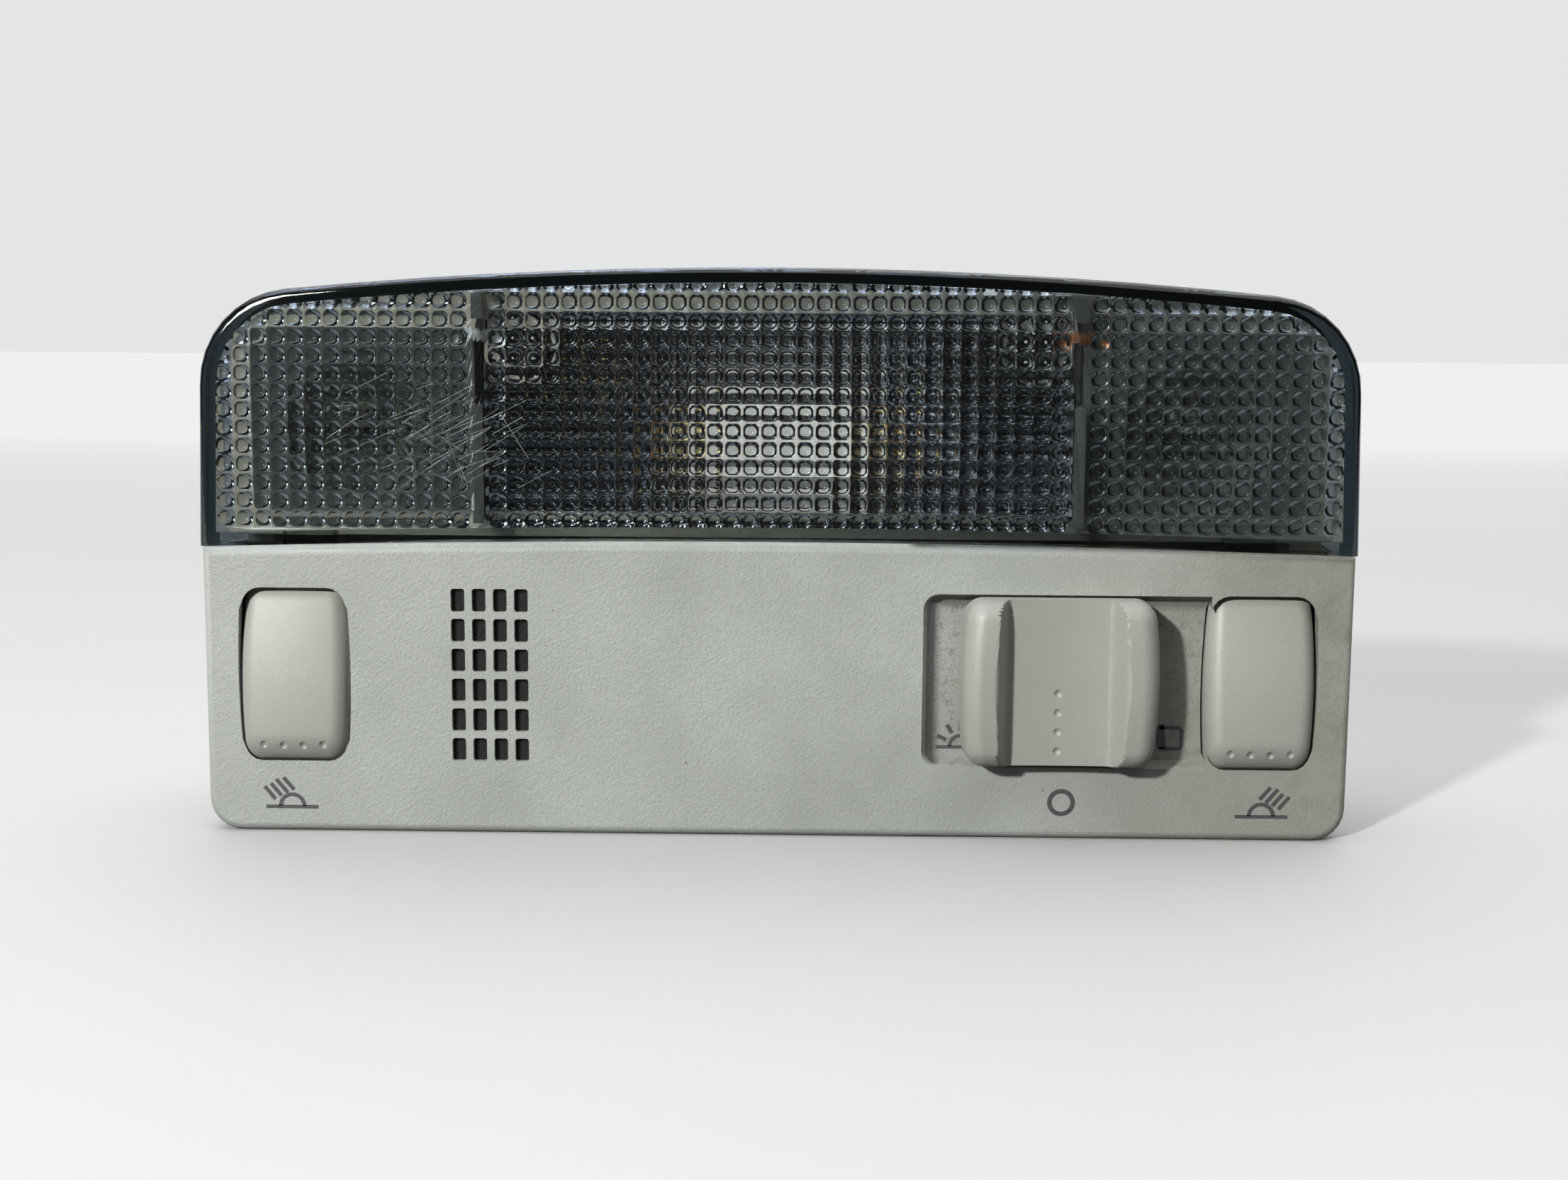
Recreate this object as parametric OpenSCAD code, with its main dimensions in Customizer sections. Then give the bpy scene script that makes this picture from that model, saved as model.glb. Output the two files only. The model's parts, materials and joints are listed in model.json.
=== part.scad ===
// Roof lamp of a car: a smoke lens over three lamp chambers, and a cover below it
// with two rocker switches, a slide switch and a vent grid.
// It stands on its lower long edge. Shapes are drawn in the plane of the face,
// x to the right, y up, z out of the face towards the viewer, and then stood up.

/* [Cover] */
// Width of the cover
cover_w = 180; // [172:1:190]
// Height of the cover in its middle, up to the seam with the lens
cover_h = 46.65; // [45.5:0.05:48]
// Radius of the arched seam
seam_r = 2700; // [1800:50:4000]
// Corner radius of the cover
cover_corner_r = 5.2; // [4:0.1:9]
// Thickness of the cover's face
cover_t = 2.4; // [1.8:0.1:2.8]
// Thickness of the skirts' walls
skirt_t = 2; // [1.4:0.1:2.4]
// Depth of the cover and of the lens, from the face to the seating flange
skirt_depth = 14; // [13.5:0.5:18]
// Depth of the cover's wall along the seam
seam_wall_depth = 8; // [5:0.5:9]
// Radius of the soft edge round the face
edge_r = 1.4; // [0.8:0.1:1.8]
// Gap between the cover and the lens
seam_gap = 0.3; // [0.15:0.05:0.5]

/* [Lens] */
// Height of the whole light
light_h = 89.05; // [88:0.05:93]
// How much wider the lens is than the cover, on each side
lens_over = 0.2; // [0:0.05:0.4]
// How far each side of the lens leans in
lens_lean = 0.6; // [0:0.1:1.5]
// Radius of the lens's arched top
lens_arch_r = 772; // [600:2:1200]
// Radius of the lens's upper corners
lens_corner_r = 15; // [12:0.5:17]
// Thickness of the lens's face
lens_t = 2.5; // [2:0.1:3]
// Thickness of the lens's rim
lens_wall = 2.4; // [2:0.1:3]
// How far the lens stands proud of the cover
lens_proud = 0.6; // [0:0.1:1.2]
// Pitch of the square pillows inside the lens
pillow_pitch = 2.81; // [2.7:0.01:4]
// Height of a pillow
pillow_rise = 0.9; // [0.5:0.05:1.1]
// Width of the plain strip in front of each divider
plain_strip = 2.9; // [2.4:0.1:3.4]
// Height of the plain band along the seam
plain_band = 1.5; // [1.2:0.1:2.5]

/* [Rocker switches] */
// Distance from the side of the cover to the middle of a rocker
rocker_edge = 14.2; // [14:0.1:17]
// How far the switches' middle lies above the middle of the cover
switch_rise = 1.925; // [1:0.025:3]
// Width of a rocker
rocker_w = 17.3; // [14:0.1:17.6]
// How much narrower each side of a rocker is at its ends
rocker_barrel = 0.75; // [0:0.05:1]
// Half the height of the cover less the radius of the rocker's ends
rocker_margin = 8.225; // [7.9:0.025:10]
// Corner radius of a rocker
rocker_corner_r = 3; // [1.5:0.5:4]
// Depth of the pivot behind the face
pivot_depth = 7; // [6.75:0.25:7.5]
// Height of the rocker's middle over the face
rocker_proud = 1.6; // [1.2:0.1:2.2]
// Angle at which a rocker rests to either side
rocker_tilt = 6.7; // [3:0.1:8]
// Radius of the rocker's pivot pins
pin_r = 1.5; // [1:0.1:2]
// Radial clearance of the pivot pins
pin_fit = 0.05; // [0.03:0.01:0.1]
// Gap round a rocker
rocker_gap = 0.35; // [0.25:0.05:0.6]

/* [Slide switch] */
// Distance from the side of the cover to the middle of the knob
knob_edge = 46.1; // [45.5:0.05:47.5]
// Width of the knob
knob_w = 31; // [29:0.1:32]
// How much lower the knob is than the rockers' ends
knob_short = 4.2; // [4:0.1:6]
// How far the knob's middle lies above the rockers' middle
knob_rise = 0.4; // [0:0.05:0.4]
// Height of the knob's two ridges over the face
knob_proud = 8; // [6:0.5:10]
// Height of the knob's valley over the face
valley_proud = 3.4; // [2:0.1:4.5]
// Travel of the knob to each side
knob_travel = 5; // [2:0.5:5]
// Depth of the recess
recess_depth = 2.3; // [1:0.1:2.6]
// Thickness of the recess floor
recess_t = 1.6; // [1.2:0.1:2]
// Distance from the left edge of the recess to the middle of the knob
recess_reach = 21; // [20.9:0.05:23]
// How much higher the recess is than the knob
recess_room = 1.4; // [1.4:0.1:2.2]
// Width of the recess's sloping side
recess_slope = 2; // [0.6:0.1:2.5]
// Running gap of the slide switch
slide_gap = 0.3; // [0.2:0.05:0.5]

/* [Vent] */
// Distance from the side of the cover to the middle of the vent grid
vent_edge = 45; // [42:0.5:60]
// Columns of slots
vent_columns = 4; // [2:1:5]
// Rows of slots
vent_rows = 6; // [3:1:6]
// Width of a slot
vent_slot_w = 2.15; // [1.5:0.05:2.6]
// Width of the bars between the columns
vent_bar_x = 1.16; // [0.8:0.02:1.6]
// Height of the bars between the rows
vent_bar_y = 1.1; // [0.8:0.05:1.5]
// Thickness of the bars from front to back
vent_grid_t = 1; // [0.8:0.1:1.4]
// How far the filter reaches behind the cover's face
filter_t = 2.6; // [1.5:0.1:4]

/* [Housing] */
// Depth of the housing behind the face
housing_depth = 36; // [34:0.5:42]
// Thickness of the housing's walls
housing_t = 2; // [1.5:0.1:2.4]
// Thickness of the seating flange
flange_t = 2; // [1.5:0.1:3]
// How far the flange lies inside the outline
flange_inset = 1; // [0.5:0.1:1.4]
// How far the rear body lies inside the outline
rear_inset = 6; // [5.5:0.25:6.5]
// Depth of the deck that carries the reflectors
deck_depth = 9; // [8.5:0.25:10]
// Distance of each divider from the middle, as a share of half the width
divider_share = 0.5189; // [0.5:0.001:0.53]
// Thickness of a divider
divider_t = 1.8; // [1.4:0.1:2.2]
// Distance of each fixing screw from its divider
screw_inset = 6.2; // [6.2:0.1:10]
// Distance of the fixing screws below the top of the deck's windows
screw_drop = 3.5; // [3:0.25:5]
// Radius of the fixing screws' holes
screw_hole_r = 2.2; // [1.6:0.1:2.6]
// Radius of the tunnels for the screw heads
tunnel_r = 3.7; // [3:0.1:3.8]
// Thickness of plastic under a screw head
screw_seat_t = 5; // [3:0.5:8]
// Distance from the side of the cover to the middle of each locating hook
hook_edge = 40; // [30:1:55]
// Width of a locating hook
hook_w = 9; // [6:0.5:14]

/* [Lamps] */
// Height of the festoon bulb in its window, as a share of the window's height
festoon_share = 0.387; // [0.36:0.005:0.5]
// Height of the festoon bulb's axis over the bottom of its reflector
festoon_rise = 12; // [11.5:0.25:13]
// Length of the festoon bulb
festoon_l = 41; // [36:0.5:44]
// Radius of the festoon bulb's glass in a window 30 mm high
festoon_r_mid = 5.23; // [4.2:0.01:5.4]
// Height of the reading lamps in their windows, as a share of the window's height
reading_share = 0.453; // [0.44:0.001:0.47]
// Radius of a reading bulb, as a share of its reflector's mouth
reading_r_share = 0.41; // [0.34:0.01:0.43]
// Radius of the mouth of a reading reflector, as a share of its window
bowl_share = 0.409; // [0.35:0.001:0.415]
// Thickness of the reflectors
reflector_t = 0.8; // [0.6:0.05:1]
// How much wider a bulb holder's body is than its bulb, on each side
holder_wall = 2.2; // [1.8:0.1:3]
// How far the bulb holders stand out of the back
holder_out = 2; // [1.5:0.1:3]

/* [Connector] */
// Position of the connector from the middle of the light
plug_x = 0; // [-8:1:8]
// How far the connector's middle lies below the middle of the switches
plug_drop = 0.25; // [-2:0.25:2]
// Width of the connector's socket
plug_w = 21; // [16:0.5:26]
// Height of the connector's socket
plug_h = 10; // [8:0.5:12]
// Depth of the connector's socket, as a share of the rear body's depth
plug_share = 0.65; // [0.55:0.01:0.7]
// Number of pins
pin_count = 5; // [3:1:6]
// Length of the pins, as a share of the socket's depth
pin_share = 0.5; // [0.3:0.02:0.6]

/* [Hidden] */
$fn = 48;
// a sliver that makes cuts run past a face
eps = 0.05;
far = 200;
half_w = cover_w / 2;
lens_half = half_w + lens_over;
// fit of pieces that don't move against each other
fit = 0.3;

// set sizes of the cover
snap_w = 10;
snap_t = 1.5;
snap_reach = 1.8;
snap_hook = 0.9;
tray_t = 1.4;
rib_t = 1.2;
rib_h = 2.2;

// set sizes of the rockers
rocker_crown = 0.9;
rocker_end_edge = 2.8;
rocker_side_crown = 0.35;
rocker_side_edge = 2.2;
rocker_wall = 1.5;
rocker_skirt = -1.8;
mark_pitch = 3.1;
mark_r = 0.52;
// distance of the marks from the rocker's lower end
mark_edge = 3.3;
web_half = 1.1;
web_h = 6;
plunger_l = 4;
plunger_half = 3;
ear_t = 1.4;
ear_r = 2.7;

// set sizes of the slide switch
ridge_w = 5.2;
slope_w = 2.6;
ridge_end_r = 3.6;
ridge_crown = 0.6;
knob_barrel = 0.5;
knob_corner_r = 3.2;
carriage_w = 20;
carriage_t = 3.2;
stem_w = 8;
rail_t = 1.2;
carrier_t = 1.6;
track_t = 0.4;
track_w = 2.4;
// how far each track's branches end from the middle of a rocker and of the slide switch
rocker_track_gap = 4;
slide_track_gap = 3;
contact_t = 0.5;

// set sizes of the housing
deck_t = 1.6;
barrier_t = 1.6;
// plastic left round the deck's windows: below, above and beside them
ledge_low = 1.9;
ledge_top = 8.55;
ledge_side = 3.4;
rim_lap = 1;
tunnel_wall = 1.15;
rear_corner_r = 5;
hook_root = 6;
hook_tip = 3;
hook_t = 2;

// set sizes of the lamps
clip_t = 0.5;
clip_w = 7;
clip_foot = 7;
cap_l = 5.4;
tip_l = 2.9;
bulb_l = 15.5;
wedge_t = 2.2;
holder_lip = 2.5;
bridge_t = 0.5;
bridge_w = 1.6;
bridge_half = 3.6;

// set sizes of the connector
plug_wall = 1.4;
plug_floor = 1.6;
plug_flange_t = 1.2;
plug_flange_w = 2;
blade_w = 2.2;
blade_t = 0.8;

// the main positions
rocker_x = half_w - rocker_edge;
total_depth = housing_depth + holder_out;
// the light's middle lies half way between the knob's ridges and the bulb holders
face_y = -(total_depth - knob_proud) / 2;

// the lens's outline: the corner circle touches the side and the arched top
corner_x = lens_half - lens_lean - lens_corner_r;
corner_turn = asin(corner_x / (lens_arch_r - lens_corner_r));
corner_y = light_h - lens_arch_r + (lens_arch_r - lens_corner_r) * cos(corner_turn);

// the space behind the lens
band_y = cover_h + seam_gap;
lens_low_wall = band_y + skirt_t;
deck_low = cover_h + 0.15;
window_low = deck_low + barrier_t + ledge_low;
window_high = light_h - ledge_top;
window_mid = (window_low + window_high) / 2;
window_h = window_high - window_low;
divider_x = divider_share * half_w;
centre_half = divider_x - divider_t / 2 - 1;
screw_x = divider_x - screw_inset;
screw_y = window_high - screw_drop;
side_window_x = divider_x + divider_t / 2 + 1.2;
side_window_end = lens_half - lens_wall - fit - housing_t - ledge_side;
side_window_w = side_window_end - side_window_x;
side_window_h = window_h - 1.6;
rear_half = half_w - rear_inset;
rear_z = -housing_depth;
floor_z = rear_z + housing_t;
// depth of the rear body behind the flange
rear_body = housing_depth - skirt_depth - flange_t;
hook_x = half_w - hook_edge;
snap_x = half_w / 3;
deck_z = -deck_depth;
rim_z = deck_z + reflector_t;
lens_back_z = lens_proud - lens_t;
divider_z = lens_back_z - fit;

// the lamps
trough_z = rear_z + 5;
festoon_y = window_low + festoon_share * window_h;
festoon_z = trough_z + festoon_rise;
// a lower window takes a thinner bulb
festoon_r = festoon_r_mid + 0.142 * (window_h - 30);
reading_x = (side_window_x + side_window_end) / 2;
reading_y = window_low + reading_share * side_window_h;
bowl_r = bowl_share * min(side_window_h, side_window_w);
reading_r = reading_r_share * bowl_r;
holder_r = reading_r + holder_wall;
holder_front = floor_z + 5;
// the bowls end just in front of the bulb holders
bowl_depth = deck_z - holder_front + reflector_t;
neck_r = reading_r + 0.6;
notch_r = tunnel_r + tunnel_wall + fit;
clip_x = festoon_l / 2 - 0.9;
cap_r = 0.8 * festoon_r;
bulb_foot = floor_z + 0.5;
bulb_top = holder_front + bulb_l;
foot_half = 0.917 * reading_r;
bridge_y = window_high - 2.2;
bridge_slot_h = 0.318 * window_h;

// the switches
carrier_z = -skirt_depth + carrier_t;
track_z = carrier_z + track_t;
carrier_half = half_w - skirt_t - 0.4;
carrier_low = skirt_t + snap_t + 1.5;
pivot_z = -pivot_depth;
rocker_y = cover_h / 2 + switch_rise;
rocker_end_r = cover_h / 2 - rocker_margin;
knob_x = half_w - knob_edge;
knob_h = 2 * rocker_end_r - knob_short;
recess_x = knob_x - recess_reach;
recess_h = knob_h + recess_room;
recess_y0 = rocker_y - recess_h / 2;
recess_floor_z = -recess_depth;
carriage_h = 0.74 * knob_h;
stem_h = 0.6 * carriage_h;
slot_half = stem_w / 2 + knob_travel + slide_gap;
// the recess runs into the right rocker's opening
recess_end = rocker_x - rocker_w / 2 + 0.6;
// the foot of the knob stays clear of the recess's slopes over the whole travel
foot_w = 2 * min(knob_w / 2, knob_x - knob_travel - 2 * slide_gap - recess_x - recess_slope);
foot_h = min(knob_h, recess_h - recess_slope - 2 * (slide_gap + knob_rise));
vent_x = -(half_w - vent_edge);
vent_y = rocker_y + 0.15;
vent_pitch_x = vent_slot_w + vent_bar_x;
vent_pitch_y = (2 * rocker_end_r - 1.7) / vent_rows;
vent_slot_h = vent_pitch_y - vent_bar_y;
vent_frame_w = vent_columns * vent_pitch_x + 1.6;
vent_frame_h = vent_rows * vent_pitch_y + 1;
// the stiffening ribs are spread between the vent grid and the recess
rib_from = vent_x + vent_frame_w / 2 + rib_t;
rib_to = recess_x - tray_t;
carriage_z = recess_floor_z - recess_t - slide_gap;
feed_y = carrier_low + 4;
ground_y = cover_h - 4.2 - track_w;

// the connector
plug_y = rocker_y - plug_drop;
plug_depth = plug_share * rear_body;

function arc(x, y, r, from, to, steps) =
  [for (i = [0:steps]) let (a = from + (to - from) * i / steps) [x + r * cos(a), y + r * sin(a)]];

// the arched top and upper corners of the lens, drawn in by d
function lens_top(d) = concat(
  arc(corner_x, corner_y, lens_corner_r - d, 0, 90 - corner_turn, 8),
  [for (p = arc(0, light_h - lens_arch_r, lens_arch_r - d, 90 - corner_turn, 90 + corner_turn, 14))
    if (abs(p[0]) < corner_x - 2) p],
  arc(-corner_x, corner_y, lens_corner_r - d, 90 + corner_turn, 180, 8));

// the whole outline of the lens, drawn in by d, down to the height low
function lens_pts(d, low) = let (x = lens_half - d) concat(
  low < cover_h ? [[x, low], [x, cover_h]] : [[x, low]], lens_top(d),
  low < cover_h ? [[-x, cover_h], [-x, low]] : [[-x, low]]);

function cover_pts(d) = concat(
  arc(-half_w + cover_corner_r, cover_corner_r, cover_corner_r - d, 180, 270, 6),
  arc(half_w - cover_corner_r, cover_corner_r, cover_corner_r - d, 270, 360, 6),
  let (a = asin((half_w - d) / (seam_r - d)))
  arc(0, cover_h - seam_r, seam_r - d, 90 - a, 90 + a, 12));

// the outline of cover and lens together, drawn in by d
function light_pts(d) = concat(
  arc(-half_w + cover_corner_r, cover_corner_r, cover_corner_r - d, 180, 270, 6),
  arc(half_w - cover_corner_r, cover_corner_r, cover_corner_r - d, 270, 360, 6),
  lens_top(d));

// the rear body, whose lower corners have a radius of their own
function rear_pts(d) = let (r = rear_corner_r - min(d, rear_corner_r - 1)) concat(
  arc(-rear_half + d + r, rear_inset + d + r, r, 180, 270, 5),
  arc(rear_half - d - r, rear_inset + d + r, r, 270, 360, 5),
  lens_top(rear_inset + d));

function round_rect(w, h, r, steps = 4) = concat(
  arc(w / 2 - r, h / 2 - r, r, 0, 90, steps), arc(-w / 2 + r, h / 2 - r, r, 90, 180, steps),
  arc(-w / 2 + r, -h / 2 + r, r, 180, 270, steps), arc(w / 2 - r, -h / 2 + r, r, 270, 360, steps));

// stands the drawing up: its z becomes the way out of the face, towards -Y
module stood() translate([0, face_y, 0]) rotate([90, 0, 0]) children();

// a prism between two heights
module between(low, high) translate([0, 0, low]) linear_extrude(high - low) children();

// a box given by its corners
module block(a, b) translate(a) cube(b - a);

// a slab whose front edge is rounded; shape(d) gives its outline drawn in by d
module soft_slab(shape, low, high, r) hull() {
  between(low, high - r) polygon(shape(0));
  for (a = [22.5, 45, 67.5, 90])
    between(high - r, high - r + r * sin(a)) polygon(shape(r * (1 - cos(a))));
}

// what lies below the seam, drawn out by rise
module seam_shape(rise) {
  turn = asin((lens_half + 4) / (seam_r + rise));
  polygon(concat(arc(0, cover_h - seam_r, seam_r + rise, 90 - turn, 90 + turn, 40),
    [[-far, -far], [far, -far]]));
}

// a rocker turned about its pivot, made wider and longer by the clearance c
module rocker_turned(c) {
  r = rocker_end_r + c;
  w = rocker_w / 2 + c;
  barrel = rocker_barrel;
  side = [for (i = [0:4]) let (t = i / 4 * (r - rocker_corner_r)) [t, w - barrel * pow(t / r, 2)]];
  corner = arc(r - rocker_corner_r, w - barrel - rocker_corner_r, rocker_corner_r, 75, 0, 4);
  half = concat(side, corner);
  rotate([0, 90, 0]) rotate_extrude($fn = 96)
    polygon(concat(half, [for (i = [len(half) - 1:-1:0]) [half[i][0], -half[i][1]]]));
}

// the profile of a crowned face with soft edges, w wide, its middle at height h, 2 * foot wide at low
module crowned(w, h, crown, r, low, foot) {
  top = [for (i = [-6:6]) let (t = i / 6) [t * (w / 2 - r), h - crown * t * t]];
  edge = arc(w / 2 - r, h - crown - r, r, 78, 0, 5);
  left = [for (i = [5:-1:0]) [-edge[i][0], edge[i][1]]];
  polygon(concat([[-foot, low]], left, top, edge, [[foot, low]]));
}

module rocker_solid(shrink, low) {
  top = pivot_depth + rocker_proud - shrink;
  side = rocker_w / 2 + 0.01 - shrink;
  intersection() {
    rocker_turned(-shrink);
    // crown from end to end
    rotate([90, 0, 90]) linear_extrude(rocker_w + 2, center = true)
      crowned(2 * rocker_end_r, top, rocker_crown, rocker_end_edge, low, rocker_end_r);
    // crown from side to side
    rotate([90, 0, 0]) linear_extrude(3 * rocker_end_r, center = true)
      crowned(2 * side, top, rocker_side_crown, rocker_side_edge, low, side);
  }
}

module rocker(side) color([0.74, 0.74, 0.72]) stood() translate([side * rocker_x, rocker_y, pivot_z])
  rotate([-rocker_tilt, 0, 0]) {
    difference() {
      rocker_solid(0, rocker_skirt);
      rocker_solid(rocker_wall, rocker_skirt - 1);
      // the four feel marks near the lower end, just sunk into the crown
      for (i = [-1.5:1:1.5]) let (y = rocker_end_r - mark_edge,
        drop = rocker_crown * pow(y / (rocker_end_r - rocker_end_edge), 2))
        translate([i * mark_pitch, -y, pivot_depth + rocker_proud - drop + 0.12]) sphere(mark_r, $fn = 20);
    }
    // web between the sides, which carries the pins and the plunger
    difference() {
      union() {
        block([-rocker_w / 2 + rocker_wall - 0.2, -web_half, -2.2],
          [rocker_w / 2 - rocker_wall + 0.2, web_half, web_h]);
        block([-plunger_half, -web_half, -plunger_l], [plunger_half, web_half, -2]);
      }
      // rounded heel of the plunger
      for (s = [-1, 1])
        translate([0, s * 1.6, -plunger_l - 0.4]) rotate([45, 0, 0]) cube([8, 1.2, 1.2], center = true);
    }
    for (s = [-1, 1])
      translate([s * (rocker_w / 2 - 0.6), 0, 0]) rotate([0, s * 90, 0])
        cylinder(r = pin_r, h = 0.6 + rocker_gap + ear_t + 0.1);
  }

module vent_slots() for (i = [0:vent_columns - 1], j = [0:vent_rows - 1])
  translate([vent_x + (i - (vent_columns - 1) / 2) * vent_pitch_x,
    vent_y + (j - (vent_rows - 1) / 2) * vent_pitch_y])
    polygon(round_rect(vent_slot_w, vent_slot_h, 0.45, 3));

function recess_pts(d, r) = concat(
  [[recess_end, recess_y0 + d / 2], [recess_end, recess_y0 + recess_h - d / 2]],
  arc(recess_x + d + r, recess_y0 + recess_h - d / 2 - r, r, 90, 180, 5),
  arc(recess_x + d + r, recess_y0 + d / 2 + r, r, 180, 270, 5));
module recess_cut() hull() {
  between(-0.1, 0.3) polygon(recess_pts(0, 2.4));
  between(recess_floor_z, recess_floor_z + eps) polygon(recess_pts(recess_slope, 1.8));
}

module front_cover() color([0.70, 0.71, 0.68]) stood() difference() {
  union() {
    difference() {
      soft_slab(function (d) cover_pts(d), -skirt_depth, 0, edge_r);
      between(-skirt_depth - 1, -cover_t) polygon(cover_pts(skirt_t));
    }
    // tray of the recess
    block([recess_x - tray_t, recess_y0 - tray_t, recess_floor_z - recess_t],
      [rocker_x - rocker_w / 2 + 1, recess_y0 + recess_h + tray_t, -cover_t + eps]);
    // frame that keeps the filter in place
    block([vent_x - vent_frame_w / 2 - rib_t, vent_y - vent_frame_h / 2 - rib_t, -cover_t - filter_t],
      [vent_x + vent_frame_w / 2 + rib_t, vent_y + vent_frame_h / 2 + rib_t, -cover_t + eps]);
    // snap tongues that reach through the flange
    for (s = [-1, 1]) {
      block([s * snap_x - snap_w / 2, skirt_t - eps, -skirt_depth - flange_t - snap_reach],
        [s * snap_x + snap_w / 2, skirt_t + snap_t, -cover_t]);
      block([s * snap_x - snap_w / 2, skirt_t + snap_t - eps, -skirt_depth - flange_t - snap_reach],
        [s * snap_x + snap_w / 2, skirt_t + snap_t + snap_hook, -skirt_depth - flange_t - 0.1]);
    }
    // stiffening ribs behind the plain middle
    for (i = [1:3]) let (x = rib_from + (rib_to - rib_from) * i / 4)
      block([x, skirt_t - eps, -cover_t - rib_h], [x + rib_t, cover_h - skirt_t - 1, -cover_t + eps]);
  }
  recess_cut();
  // slot for the knob's stem
  block([knob_x - slot_half, rocker_y - stem_h / 2 - slide_gap, -8],
    [knob_x + slot_half, rocker_y + stem_h / 2 + slide_gap, 0]);
  for (s = [-1, 1])
    translate([s * rocker_x, rocker_y, pivot_z]) rocker_turned(rocker_gap);
  between(-cover_t - 1, 1) vent_slots();
  // pocket of the filter
  block([vent_x - vent_frame_w / 2, vent_y - vent_frame_h / 2, -cover_t - filter_t - 1],
    [vent_x + vent_frame_w / 2, vent_y + vent_frame_h / 2, -vent_grid_t]);
  // the wall along the seam is shallower than the skirt
  block([-half_w + skirt_t, cover_h - 6, -skirt_depth - 1],
    [half_w - skirt_t, cover_h + 1, -seam_wall_depth]);
}

module vent_filter() color([0.08, 0.08, 0.09]) stood()
  block([vent_x - vent_frame_w / 2 + 0.1, vent_y - vent_frame_h / 2 + 0.1, -cover_t - filter_t],
    [vent_x + vent_frame_w / 2 - 0.1, vent_y + vent_frame_h / 2 - 0.1, -vent_grid_t]);

// a field of square pillows on the lens's inner face, columns wide from x0, up past the arched top
module pillows(x0, columns) {
  y0 = band_y + plain_band;
  rows = ceil((light_h - y0) / pillow_pitch);
  base = lens_back_z + 0.6;
  corners = [for (j = [0:rows], i = [0:columns])
    [x0 + i * pillow_pitch, y0 + j * pillow_pitch, lens_back_z]];
  peaks = [for (j = [0:rows - 1], i = [0:columns - 1])
    [x0 + (i + 0.5) * pillow_pitch, y0 + (j + 0.5) * pillow_pitch, lens_back_z - pillow_rise]];
  x1 = x0 + columns * pillow_pitch;
  y1 = y0 + rows * pillow_pitch;
  under = [[x0, y0, base], [x1, y0, base], [x1, y1, base], [x0, y1, base]];
  n = columns + 1;
  first_peak = n * (rows + 1);
  first_under = first_peak + columns * rows;
  function at(i, j) = j * n + i;
  function peak(i, j) = first_peak + j * columns + i;
  sides = [for (j = [0:rows - 1], i = [0:columns - 1]) each [
    [at(i, j), at(i + 1, j), peak(i, j)], [at(i + 1, j), at(i + 1, j + 1), peak(i, j)],
    [at(i + 1, j + 1), at(i, j + 1), peak(i, j)], [at(i, j + 1), at(i, j), peak(i, j)]]];
  rims = [
    concat([first_under, first_under + 1], [for (i = [columns:-1:0]) at(i, 0)]),
    concat([first_under + 1, first_under + 2], [for (j = [rows:-1:0]) at(columns, j)]),
    concat([first_under + 2, first_under + 3], [for (i = [0:columns]) at(i, rows)]),
    concat([first_under + 3, first_under], [for (j = [0:rows]) at(0, j)])];
  top = [[first_under + 3, first_under + 2, first_under + 1, first_under]];
  intersection() {
    polyhedron(concat(corners, peaks, under), concat(sides, rims, top));
    between(lens_back_z - 3, lens_proud) polygon(lens_pts(lens_wall - eps, band_y));
  }
}

module lens() color([0.25, 0.29, 0.27, 0.6]) stood() {
  middle = floor((2 * divider_x - plain_strip) / pillow_pitch);
  side_start = divider_x + plain_strip / 2;
  side = floor((lens_half - lens_wall - side_start) / pillow_pitch);
  difference() {
    union() {
      difference() {
        soft_slab(function (d) lens_pts(d, band_y - 6), -skirt_depth, lens_proud, edge_r);
        between(-skirt_depth - 1, lens_back_z) polygon(lens_pts(lens_wall, -far));
      }
      // shallow wall along the seam, with two deeper tabs
      between(lens_back_z - 3.5, lens_back_z + eps) intersection() {
        polygon(lens_pts(lens_wall - eps, band_y - 6));
        seam_shape(seam_gap + skirt_t);
      }
      for (s = [-1, 1])
        between(deck_z + fit, lens_back_z) intersection() {
          translate([s * (half_w - 16) - 4, band_y - 6]) square([8, far]);
          seam_shape(seam_gap + skirt_t);
        }
    }
    between(-far, far) seam_shape(seam_gap);
  }
  pillows(-middle * pillow_pitch / 2, middle);
  pillows(side_start, side);
  pillows(-side_start - side * pillow_pitch, side);
}

module side_window(extra) translate([reading_x, window_low + side_window_h / 2])
  polygon(round_rect(side_window_w + 2 * extra, side_window_h + 2 * extra, side_window_h / 6));

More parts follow.
